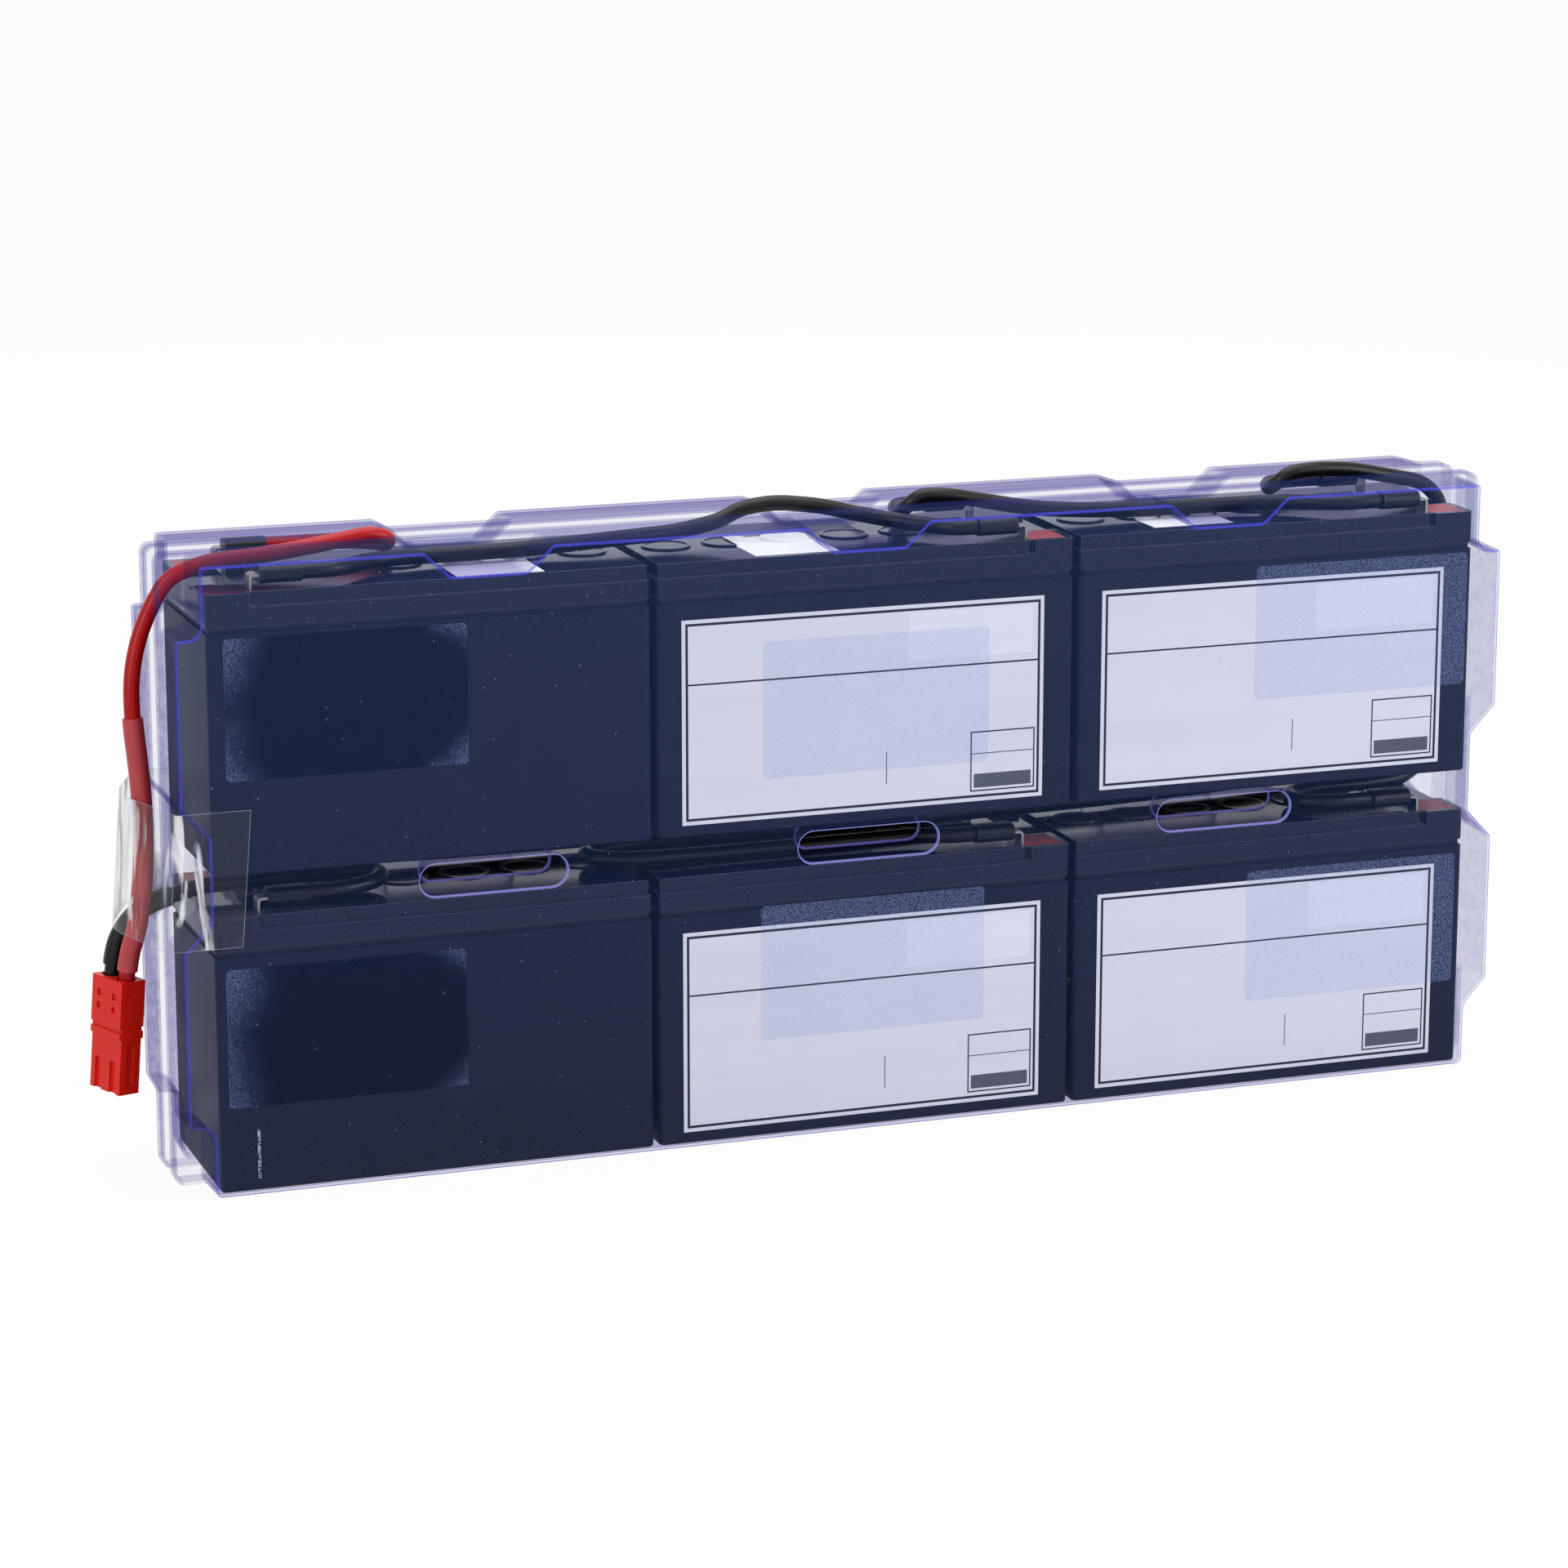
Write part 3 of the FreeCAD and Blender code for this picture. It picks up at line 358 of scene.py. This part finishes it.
red_line = line_of(red_wire)
black_line = line_of(black_wire)
red_sleeve = sleeve(
    "red_shrink_sleeve", red_wire, sleeve_start, length_of(red_line) - bare_at_plug, red_shrink)
black_sleeve = sleeve(
    "black_shrink_sleeve", black_wire, 0.0, length_of(black_line) - bare_at_plug, black_vinyl)
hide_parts("red_lead")
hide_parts("black_lead")
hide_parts("red_lead_sleeve")
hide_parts("black_lead_sleeve")


# ---- plug -----------------------------------------------------------------------------------
# Two keyed housings of glossy red polycarbonate that slide together side by side.

red_pc, tree = new_finish("red_polycarbonate")
place = add(tree, "ShaderNodeTexCoord")
haze = add(tree, "ShaderNodeTexNoise", {"Vector": place.outputs["Object"], "Scale": 220.0, "Detail": 3.0})
rough = add(tree, "ShaderNodeMapRange", {"Value": haze.outputs["Fac"], "To Min": 0.22, "To Max": 0.34})
edge = add(tree, "ShaderNodeBevel", {"Radius": 0.0003}, samples=4)
body = add(tree, "ShaderNodeBsdfPrincipled", {
    "Base Color": linear("#d41c10"), "Roughness": rough.outputs["Result"], "IOR": 1.58,
    "Specular IOR Level": 0.16,
    "Normal": edge.outputs["Normal"],
    "Subsurface Weight": 0.15, "Subsurface Radius": (0.003, 0.0006, 0.0004), "Subsurface Scale": 0.5})
add(tree, "ShaderNodeOutputMaterial", {"Surface": body.outputs["BSDF"]})
coat(["red_lead_housing", "black_lead_housing"], red_pc)
coat(["plug_contacts"], tin)


# ---- adhesive pads ------------------------------------------------------------------------------
# Clear adhesive between the blocks and the shells: a lavender film over a label, dark
# where it wets the black plastic, and frosted with fine bubbles where it does not.

pad_length, pad_height = 82.0, 47.5
lower_pads = ((-225.2, 31.0), (-38.9, 36.0), (143.4, 32.3))
upper_pads = ((-223.2, 141.8), (-38.0, 128.0), (144.4, 142.0))
left_pads_start = -224.2
left_pads_row_step = 110.8
left_pads_middle = 54.75
left_column_end = -75.0
wet_half_height, wet_near_slope, wet_far_slope = 26.0, 0.45, 1.3
wet_corner_blend, wet_wander = 6.0, 34.0
film_place, film_thickness, film_corner = 0.032775, 0.00016, 0.0016

adhesive, tree = new_finish("cured_clear_adhesive")
place = add(tree, "ShaderNodeTexCoord")
upright_grain = add(tree, "ShaderNodeMapping", {
    "Vector": place.outputs["Object"], "Scale": (2600.0, 2600.0, 1500.0)})
bubbles = add(tree, "ShaderNodeTexNoise", {"Vector": upright_grain.outputs[0], "Scale": 1.0, "Detail": 2.0})
patches = add(tree, "ShaderNodeTexNoise", {"Vector": place.outputs["Object"], "Scale": 24.0, "Detail": 5.0})
spot = add(tree, "ShaderNodeVectorMath", {0: place.outputs["Object"], "Scale": 1000.0}, operation="SCALE")
axes = add(tree, "ShaderNodeSeparateXYZ", {0: spot.outputs[0]})
up = add(tree, "ShaderNodeMath", {0: axes.outputs[2], 1: left_pads_row_step}, operation="FLOORED_MODULO")
inward = add(tree, "ShaderNodeMath", {0: axes.outputs[0], 1: left_pads_start}, operation="SUBTRACT")
to_far_side = add(tree, "ShaderNodeMath", {0: pad_length, 1: inward.outputs[0]}, operation="SUBTRACT")
above = add(tree, "ShaderNodeMath", {0: up.outputs[0], 1: left_pads_middle}, operation="SUBTRACT")
off_level = add(tree, "ShaderNodeMath", {0: above.outputs[0]}, operation="ABSOLUTE")
to_foot = add(tree, "ShaderNodeMath", {
    0: wet_half_height, 1: off_level.outputs[0]}, operation="SUBTRACT")
near_side = add(tree, "ShaderNodeMath", {
    0: to_foot.outputs[0], 1: wet_near_slope, 2: inward.outputs[0]}, operation="MULTIPLY_ADD")
far_corner = add(tree, "ShaderNodeMath", {
    0: to_foot.outputs[0], 1: wet_far_slope, 2: to_far_side.outputs[0]}, operation="MULTIPLY_ADD")
rim = add(tree, "ShaderNodeMath", {
    0: near_side.outputs[0], 1: far_corner.outputs[0], 2: wet_corner_blend}, operation="SMOOTH_MIN")
wander = add(tree, "ShaderNodeMath", {
    0: patches.outputs["Fac"], 1: wet_wander, 2: rim.outputs[0]}, operation="MULTIPLY_ADD")
soaked = add(tree, "ShaderNodeMapRange", {
    "Value": wander.outputs[0], "From Min": 17.0, "From Max": 38.0}, interpolation_type="SMOOTHSTEP")
in_front = add(tree, "ShaderNodeMath", {0: axes.outputs[1], 1: 0.0}, operation="LESS_THAN")
wetted = add(tree, "ShaderNodeMath", {0: soaked.outputs[0], 1: in_front.outputs[0]}, operation="MULTIPLY")
frost = add(tree, "ShaderNodeMapRange", {
    "Value": bubbles.outputs["Fac"], "From Min": 0.4, "From Max": 0.62, "To Min": 0.0, "To Max": 0.21})
calm = add(tree, "ShaderNodeMapRange", {"Value": wetted.outputs[0], "To Min": 1.0, "To Max": 0.06})
shifted = add(tree, "ShaderNodeMath", {0: axes.outputs[0], 1: front_label_left}, operation="SUBTRACT")
across = add(tree, "ShaderNodeMath", {0: shifted.outputs[0], 1: column_pitch}, operation="FLOORED_MODULO")
raised = add(tree, "ShaderNodeMath", {0: axes.outputs[2], 1: label_foot}, operation="SUBTRACT")
label_up = add(tree, "ShaderNodeMath", {0: raised.outputs[0], 1: row_pitch}, operation="FLOORED_MODULO")
on_label = printed(tree, across.outputs[0], label_up.outputs[0], 0.0, label_size[0], 0.0, label_size[1])
right_of = add(tree, "ShaderNodeMath", {0: axes.outputs[0], 1: left_column_end}, operation="GREATER_THAN")
front_label = add(tree, "ShaderNodeMath", {0: on_label, 1: right_of.outputs[0]}, operation="MULTIPLY")
rear_label = printed(tree, axes.outputs[0], label_up.outputs[0], rear_label_right - label_size[0],
                     rear_label_right, 0.0, label_size[1])
covered = add(tree, "ShaderNodeMix", {0: in_front.outputs[0], 2: rear_label, 3: front_label.outputs[0]})
strength = add(tree, "ShaderNodeMapRange", {"Value": covered.outputs[0], "To Min": 1.5, "To Max": 0.22})
local = add(tree, "ShaderNodeMath", {0: frost.outputs[0], 1: strength.outputs[0]}, operation="MULTIPLY")
amount = add(tree, "ShaderNodeMath", {0: local.outputs[0], 1: calm.outputs[0]}, operation="MULTIPLY")
wet_tint = add(tree, "ShaderNodeMix", {
    "Factor": wetted.outputs[0], 6: (0.975, 0.985, 1.0, 1.0), 7: (0.6, 0.63, 0.7, 1.0)}, data_type="RGBA")
clear = add(tree, "ShaderNodeBsdfTransparent", {"Color": wet_tint.outputs[2]})
milk = add(tree, "ShaderNodeBsdfDiffuse", {"Color": linear("#92a2cc")})
body = add(tree, "ShaderNodeMixShader", {0: amount.outputs[0], 1: clear.outputs[0], 2: milk.outputs[0]})
add(tree, "ShaderNodeOutputMaterial", {"Surface": body.outputs[0]})


def adhesive_film(name, side, replaced):
    """Six rounded films of adhesive just inside one half shell, a hair clear of it."""
    maker = bmesh.new()
    half_length, half_height = pad_length / 2, pad_height / 2
    for left, low in lower_pads + upper_pads:
        before = set(maker.verts)
        bmesh.ops.create_cube(maker, size=1.0)
        fresh = [v for v in maker.verts if v not in before]
        middle = Vector(((left + half_length) / 1000, side * film_place, (low + half_height) / 1000))
        for v in fresh:
            v.co = middle + Vector((
                v.co.x * pad_length / 1000, v.co.y * film_thickness, v.co.z * pad_height / 1000))
        corners = [e for e in maker.edges if e.verts[0] in fresh
                   and abs(e.verts[0].co.y - e.verts[1].co.y) > film_thickness / 2]
        bmesh.ops.bevel(maker, geom=corners, offset=film_corner, offset_type="OFFSET", segments=4,
                        profile=0.5, affect="EDGES", material=-1)
    mesh = bpy.data.meshes.new(name)
    maker.to_mesh(mesh)
    maker.free()
    mesh.materials.append(adhesive)
    piece = bpy.data.objects.new(name, mesh)
    bpy.context.scene.collection.objects.link(piece)
    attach(piece, "root")
    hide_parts(replaced)


adhesive_film("adhesive_film_front", -1, "front_adhesive_pads")
adhesive_film("adhesive_film_rear", 1, "rear_adhesive_pads")


# ---- half shells ------------------------------------------------------------------------------------
# Clear 0.8 mm PETG sheet with a faint violet tint, vacuum-formed and trimmed. Light
# gathers royal blue in the folds and violet round the finger pockets, the drawn walls
# carry fine streaks, fine dust lies all over, and the front has one scratch.

pocket_pitch, pocket_level = 0.1334, 0.1029
pocket_straight_half, pocket_rim_radius = 0.02005, 0.0057
outer_skin, pocket_cut_place = 0.0326, 0.0217
scratch_left, scratch_right, scratch_low, scratch_high = -0.2162, -0.2152, 0.0062, 0.0235
scratched_skin = -0.0336
chamfer_facing, chamfer_spread, chamfer_share = 0.68, 0.25, 0.55
rim_share = 0.6

clear_sheet, tree = new_finish("violet_clear_petg")
place = add(tree, "ShaderNodeTexCoord")
shape = add(tree, "ShaderNodeNewGeometry")
rounded = add(tree, "ShaderNodeBevel", {"Radius": 0.00016}, samples=4)
turn = add(tree, "ShaderNodeVectorMath", {
    0: rounded.outputs["Normal"], 1: shape.outputs["Normal"]}, operation="DOT_PRODUCT")
crease = add(tree, "ShaderNodeMapRange", {
    "Value": turn.outputs["Value"], "From Min": 0.99, "From Max": 0.9, "To Min": 0.0, "To Max": 0.6})
axes = add(tree, "ShaderNodeSeparateXYZ", {0: place.outputs["Object"]})
facing = add(tree, "ShaderNodeSeparateXYZ", {0: shape.outputs["True Normal"]})
side = add(tree, "ShaderNodeMath", {0: axes.outputs[1]}, operation="SIGN")
outward = add(tree, "ShaderNodeMath", {0: facing.outputs[1], 1: side.outputs[0]}, operation="MULTIPLY")
chamfer = add(tree, "ShaderNodeMath", {
    0: outward.outputs[0], 1: chamfer_facing, 2: chamfer_spread}, operation="COMPARE")
chamfer_part = add(tree, "ShaderNodeMath", {
    0: chamfer.outputs[0], 1: chamfer_share}, operation="MULTIPLY")
fold = add(tree, "ShaderNodeMath", {0: chamfer_part.outputs[0], 1: crease.outputs[0]}, operation="MAXIMUM")
stretched = add(tree, "ShaderNodeMapping", {"Vector": place.outputs["Object"], "Scale": (6.0, 420.0, 420.0)})
streak = add(tree, "ShaderNodeTexNoise", {"Vector": stretched.outputs[0], "Scale": 1.0, "Detail": 3.0})
ripple = add(tree, "ShaderNodeTexNoise", {"Vector": place.outputs["Object"], "Scale": 30.0, "Detail": 2.0})
waves = add(tree, "ShaderNodeMath", {0: streak.outputs["Fac"], 1: 0.1, 2: ripple.outputs["Fac"]},
            operation="MULTIPLY_ADD")
bump = add(tree, "ShaderNodeBump", {
    "Height": waves.outputs[0], "Normal": rounded.outputs["Normal"], "Strength": 0.12, "Distance": 0.002})
graze = add(tree, "ShaderNodeLayerWeight", {"Blend": 0.5})
depth = add(tree, "ShaderNodeMath", {0: graze.outputs["Facing"], 1: 3.0}, operation="POWER")
banding = add(tree, "ShaderNodeMapRange", {
    "Value": streak.outputs["Fac"], "From Min": 0.3, "From Max": 0.7, "To Min": 0.7, "To Max": 1.35})
deep = add(tree, "ShaderNodeMath", {
    0: depth.outputs[0], 1: banding.outputs[0]}, operation="MULTIPLY", use_clamp=True)
tint = add(tree, "ShaderNodeMix", {
    "Factor": deep.outputs[0], 6: (0.945, 0.948, 0.968, 1.0), 7: (0.43, 0.385, 0.62, 1.0)}, data_type="RGBA")
clear = add(tree, "ShaderNodeBsdfTransparent", {"Color": tint.outputs[2]})
haze = add(tree, "ShaderNodeBsdfDiffuse", {"Color": (0.09, 0.2, 0.6, 1.0)})
dust = add(tree, "ShaderNodeTexVoronoi", {"Vector": place.outputs["Object"], "Scale": 160.0})
speck = add(tree, "ShaderNodeMapRange", {
    "Value": dust.outputs["Distance"], "From Min": 0.03, "From Max": 0.05, "To Min": 0.3, "To Max": 0.0})
pale = add(tree, "ShaderNodeBsdfDiffuse", {"Color": linear("#b8c4e8")})
# Sheet haze, partly real and partly painted light: its weight grows towards the top as a painted sheen of the
# lights above.
haze_and_painted_top_sheen = add(tree, "ShaderNodeMapRange", {
    "Value": axes.outputs[2], "From Min": 0.02, "From Max": 0.2, "To Min": 0.014, "To Max": 0.03})
veil = add(tree, "ShaderNodeMixShader", {
    0: haze_and_painted_top_sheen.outputs[0], 1: clear.outputs[0], 2: haze.outputs[0]})
scored = add(tree, "ShaderNodeMapRange", {
    "Value": streak.outputs["Fac"], "From Min": 0.5, "From Max": 0.68, "To Min": 0.0, "To Max": 0.12})
drawn = add(tree, "ShaderNodeMath", {0: scored.outputs[0], 1: depth.outputs[0]}, operation="MULTIPLY")
lines = add(tree, "ShaderNodeBsdfDiffuse", {"Color": linear("#3c2cc0")})
veil = add(tree, "ShaderNodeMixShader", {0: drawn.outputs[0], 1: veil.outputs[0], 2: lines.outputs[0]})
ragged = add(tree, "ShaderNodeTexNoise", {"Vector": place.outputs["Object"], "Scale": 900.0, "Detail": 2.0})
torn = add(tree, "ShaderNodeMapRange", {
    "Value": ragged.outputs["Fac"], "From Min": 0.35, "From Max": 0.55, "To Min": 0.0, "To Max": 0.55})
scraped = printed(
    tree, axes.outputs[0], axes.outputs[2], scratch_left, scratch_right, scratch_low, scratch_high)
front = add(tree, "ShaderNodeMath", {0: axes.outputs[1], 1: scratched_skin}, operation="LESS_THAN")
scrape = add(tree, "ShaderNodeMath", {0: scraped, 1: front.outputs[0]}, operation="MULTIPLY")
scratch = add(tree, "ShaderNodeMath", {0: scrape.outputs[0], 1: torn.outputs[0]}, operation="MULTIPLY")
marks = add(tree, "ShaderNodeMath", {0: speck.outputs[0], 1: scratch.outputs[0]}, operation="MAXIMUM")
dusty = add(tree, "ShaderNodeMixShader", {0: marks.outputs[0], 1: veil.outputs[0], 2: pale.outputs[0]})
fold_blue = add(tree, "ShaderNodeBsdfDiffuse", {"Color": linear("#4344c8")})
folded = add(tree, "ShaderNodeMixShader", {0: fold.outputs[0], 1: dusty.outputs[0], 2: fold_blue.outputs[0]})
beside_pocket = add(tree, "ShaderNodeMath", {
    0: axes.outputs[0], 1: pocket_pitch / 2, 2: -pocket_pitch / 2}, operation="WRAP")
along = add(tree, "ShaderNodeMath", {0: beside_pocket.outputs[0]}, operation="ABSOLUTE")
past_straight = add(tree, "ShaderNodeMath", {
    0: along.outputs[0], 1: pocket_straight_half}, operation="SUBTRACT")
in_bend = add(tree, "ShaderNodeMath", {0: past_straight.outputs[0], 1: 0.0}, operation="MAXIMUM")
off_pocket = add(tree, "ShaderNodeMath", {0: axes.outputs[2], 1: pocket_level}, operation="SUBTRACT")
across_pocket = add(tree, "ShaderNodeCombineXYZ", {0: in_bend.outputs[0], 1: off_pocket.outputs[0]})
from_line = add(tree, "ShaderNodeVectorMath", {0: across_pocket.outputs[0]}, operation="LENGTH")
on_rim = add(tree, "ShaderNodeMath", {
    0: from_line.outputs["Value"], 1: pocket_rim_radius, 2: 0.0003}, operation="COMPARE")
proud = add(tree, "ShaderNodeMath", {0: axes.outputs[1]}, operation="ABSOLUTE")
at_face = add(tree, "ShaderNodeMath", {0: proud.outputs[0], 1: outer_skin}, operation="GREATER_THAN")
face_rim = add(tree, "ShaderNodeMath", {0: on_rim.outputs[0], 1: at_face.outputs[0]}, operation="MULTIPLY")
at_cut = add(tree, "ShaderNodeMath", {
    0: proud.outputs[0], 1: pocket_cut_place, 2: 0.0005}, operation="COMPARE")
in_pocket = add(tree, "ShaderNodeMath", {
    0: from_line.outputs["Value"], 1: pocket_rim_radius}, operation="LESS_THAN")
cut_rim = add(tree, "ShaderNodeMath", {0: at_cut.outputs[0], 1: in_pocket.outputs[0]}, operation="MULTIPLY")
lit = add(tree, "ShaderNodeMath", {0: face_rim.outputs[0], 1: cut_rim.outputs[0]}, operation="MAXIMUM")
lit_part = add(tree, "ShaderNodeMath", {0: lit.outputs[0], 1: rim_share}, operation="MULTIPLY")
rim_glow = add(tree, "ShaderNodeBsdfDiffuse", {"Color": linear("#9c9ae8")})
folded = add(tree, "ShaderNodeMixShader", {
    0: lit_part.outputs[0], 1: folded.outputs[0], 2: rim_glow.outputs[0]})
gloss = add(tree, "ShaderNodeBsdfGlossy", {"Roughness": 0.06, "Normal": bump.outputs["Normal"]})
steep = add(tree, "ShaderNodeMath", {0: graze.outputs["Facing"], 1: 5.0}, operation="POWER")
shine = add(tree, "ShaderNodeMath", {0: steep.outputs[0], 1: 0.04, 2: 0.0015}, operation="MULTIPLY_ADD")
body = add(tree, "ShaderNodeMixShader", {0: shine.outputs[0], 1: folded.outputs[0], 2: gloss.outputs[0]})
add(tree, "ShaderNodeOutputMaterial", {"Surface": body.outputs[0]})
coat(["front_shell", "rear_shell"], clear_sheet)


# ---- clear tape -----------------------------------------------------------------------------------------
# A band of clear polypropylene packing tape round the left end, over the leads,
# lightly creased.

tape_held_to, tape_loose_from = -0.2285, -0.2315

clear_tape, tree = new_finish("clear_polypropylene_tape")
place = add(tree, "ShaderNodeTexCoord")
axes = add(tree, "ShaderNodeSeparateXYZ", {0: place.outputs["Object"]})
drawn_out = add(tree, "ShaderNodeMapping", {"Vector": place.outputs["Object"], "Scale": (90.0, 60.0, 22.0)})
crease = add(tree, "ShaderNodeTexNoise", {
    "Vector": drawn_out.outputs[0], "Scale": 1.0, "Detail": 3.0, "Distortion": 1.2})
bump = add(tree, "ShaderNodeBump", {"Height": crease.outputs["Fac"], "Strength": 0.5, "Distance": 0.003})
# Painted highlight: where the tape lies loose, the crease crests are mixed towards white, standing in for
# glare off them.
unheld = add(tree, "ShaderNodeMapRange", {
    "Value": axes.outputs[0], "From Min": tape_held_to, "From Max": tape_loose_from})
glare = add(tree, "ShaderNodeMapRange", {
    "Value": crease.outputs["Fac"], "From Min": 0.54, "From Max": 0.64, "To Min": 0.0, "To Max": 0.6})
painted_glare = add(tree, "ShaderNodeMath", {0: glare.outputs[0], 1: unheld.outputs[0]}, operation="MULTIPLY")
clear = add(tree, "ShaderNodeBsdfTransparent", {"Color": (0.965, 0.965, 0.97, 1.0)})
white = add(tree, "ShaderNodeBsdfDiffuse", {"Color": linear("#eeeef2")})
creased_with_painted_glare = add(tree, "ShaderNodeMixShader", {0: painted_glare.outputs[0], 1: clear.outputs[0], 2: white.outputs[0]})
# Painted highlight: a pale line along the tape's cut edges stands in for glints there.
rounded = add(tree, "ShaderNodeBevel", {"Radius": 0.0003}, samples=4)
shape = add(tree, "ShaderNodeNewGeometry")
turn = add(tree, "ShaderNodeVectorMath", {
    0: rounded.outputs["Normal"], 1: shape.outputs["Normal"]}, operation="DOT_PRODUCT")
rim = add(tree, "ShaderNodeMapRange", {
    "Value": turn.outputs["Value"], "From Min": 0.99, "From Max": 0.8, "To Min": 0.0, "To Max": 0.75})
pale = add(tree, "ShaderNodeBsdfDiffuse", {"Color": linear("#a8acbc")})
with_painted_edge_glint = add(tree, "ShaderNodeMixShader", {0: rim.outputs[0], 1: creased_with_painted_glare.outputs[0], 2: pale.outputs[0]})
gloss = add(tree, "ShaderNodeBsdfGlossy", {"Roughness": 0.05, "Normal": bump.outputs["Normal"]})
graze = add(tree, "ShaderNodeLayerWeight", {"Blend": 0.5, "Normal": bump.outputs["Normal"]})
steep = add(tree, "ShaderNodeMath", {0: graze.outputs["Facing"], 1: 5.0}, operation="POWER")
shine = add(tree, "ShaderNodeMath", {0: steep.outputs[0], 1: 0.5, 2: 0.012}, operation="MULTIPLY_ADD")
body = add(tree, "ShaderNodeMixShader", {0: shine.outputs[0], 1: with_painted_edge_glint.outputs[0], 2: gloss.outputs[0]})
add(tree, "ShaderNodeOutputMaterial", {"Surface": body.outputs[0]})
coat(["tape_wrap"], clear_tape)


# ---- studio ----------------------------------------------------------------------------------------------
# Plain white floor and surround, with large soft lights above, at both sides and behind.

studio = bpy.context.scene
studio.view_settings.view_transform = "Standard"
studio.cycles.transparent_max_bounces = 48


def looked_at(tree):
    """1 for a ray that the camera sends, straight, mirrored or through a clear piece."""
    path = add(tree, "ShaderNodeLightPath")
    direct = add(tree, "ShaderNodeMath", {
        0: path.outputs["Is Camera Ray"], 1: path.outputs["Is Transmission Ray"]}, operation="MAXIMUM")
    return add(tree, "ShaderNodeMath", {
        0: direct.outputs[0], 1: path.outputs["Is Glossy Ray"]}, operation="MAXIMUM").outputs[0]


white_floor, tree = new_finish("white_floor")
paint = add(tree, "ShaderNodeBsdfDiffuse", {"Color": (0.6, 0.6, 0.6, 1.0)})
lit = add(tree, "ShaderNodeEmission", {"Color": (1.0, 1.0, 1.0, 1.0), "Strength": 1.0})
share = add(tree, "ShaderNodeMath", {0: looked_at(tree), 1: 0.95}, operation="MULTIPLY")
body = add(tree, "ShaderNodeMixShader", {0: share.outputs[0], 1: paint.outputs[0], 2: lit.outputs[0]})
add(tree, "ShaderNodeOutputMaterial", {"Surface": body.outputs[0]})
floor_mesh = bpy.data.meshes.new("studio_floor")
shape_maker = bmesh.new()
bmesh.ops.create_grid(shape_maker, x_segments=1, y_segments=1, size=12.0)
shape_maker.to_mesh(floor_mesh)
shape_maker.free()
floor_mesh.materials.append(white_floor)
floor = bpy.data.objects.new("studio_floor", floor_mesh)
bpy.context.scene.collection.objects.link(floor)

world = bpy.data.worlds.new("studio_surround")
studio.world = world
world.use_nodes = True
tree = world.node_tree
tree.nodes.clear()
level = add(tree, "ShaderNodeMapRange", {"Value": looked_at(tree), "To Min": 0.4, "To Max": 1.0})
sky = add(tree, "ShaderNodeBackground", {"Color": (1.0, 1.0, 1.0, 1.0), "Strength": level.outputs["Result"]})
add(tree, "ShaderNodeOutputWorld", {"Surface": sky.outputs[0]})


def soft_light(name, place, aim, size, power):
    """A square soft light that points at a spot."""
    data = bpy.data.lights.new(name, "AREA")
    data.shape = "RECTANGLE"
    data.size, data.size_y = size
    data.energy = power
    light = bpy.data.objects.new(name, data)
    light.location = place
    light.rotation_euler = (Vector(aim) - Vector(place)).to_track_quat("-Z", "Y").to_euler()
    bpy.context.scene.collection.objects.link(light)
    return light


soft_light("top_light", (0.1, 0.0, 1.5), (0, 0, 0.1), (1.8, 1.2), 21.0)
soft_light("left_light", (-1.5, -0.9, 0.9), (-0.1, 0, 0.1), (0.9, 1.2), 13.0)
soft_light("right_light", (1.3, -1.2, 0.7), (0.1, 0, 0.1), (0.9, 1.2), 17.0)
rear_light = soft_light("rear_light", (0.5, 1.6, 0.9), (0, 0, 0.1), (0.9, 1.2), 9.0)
rear_light.visible_glossy = False
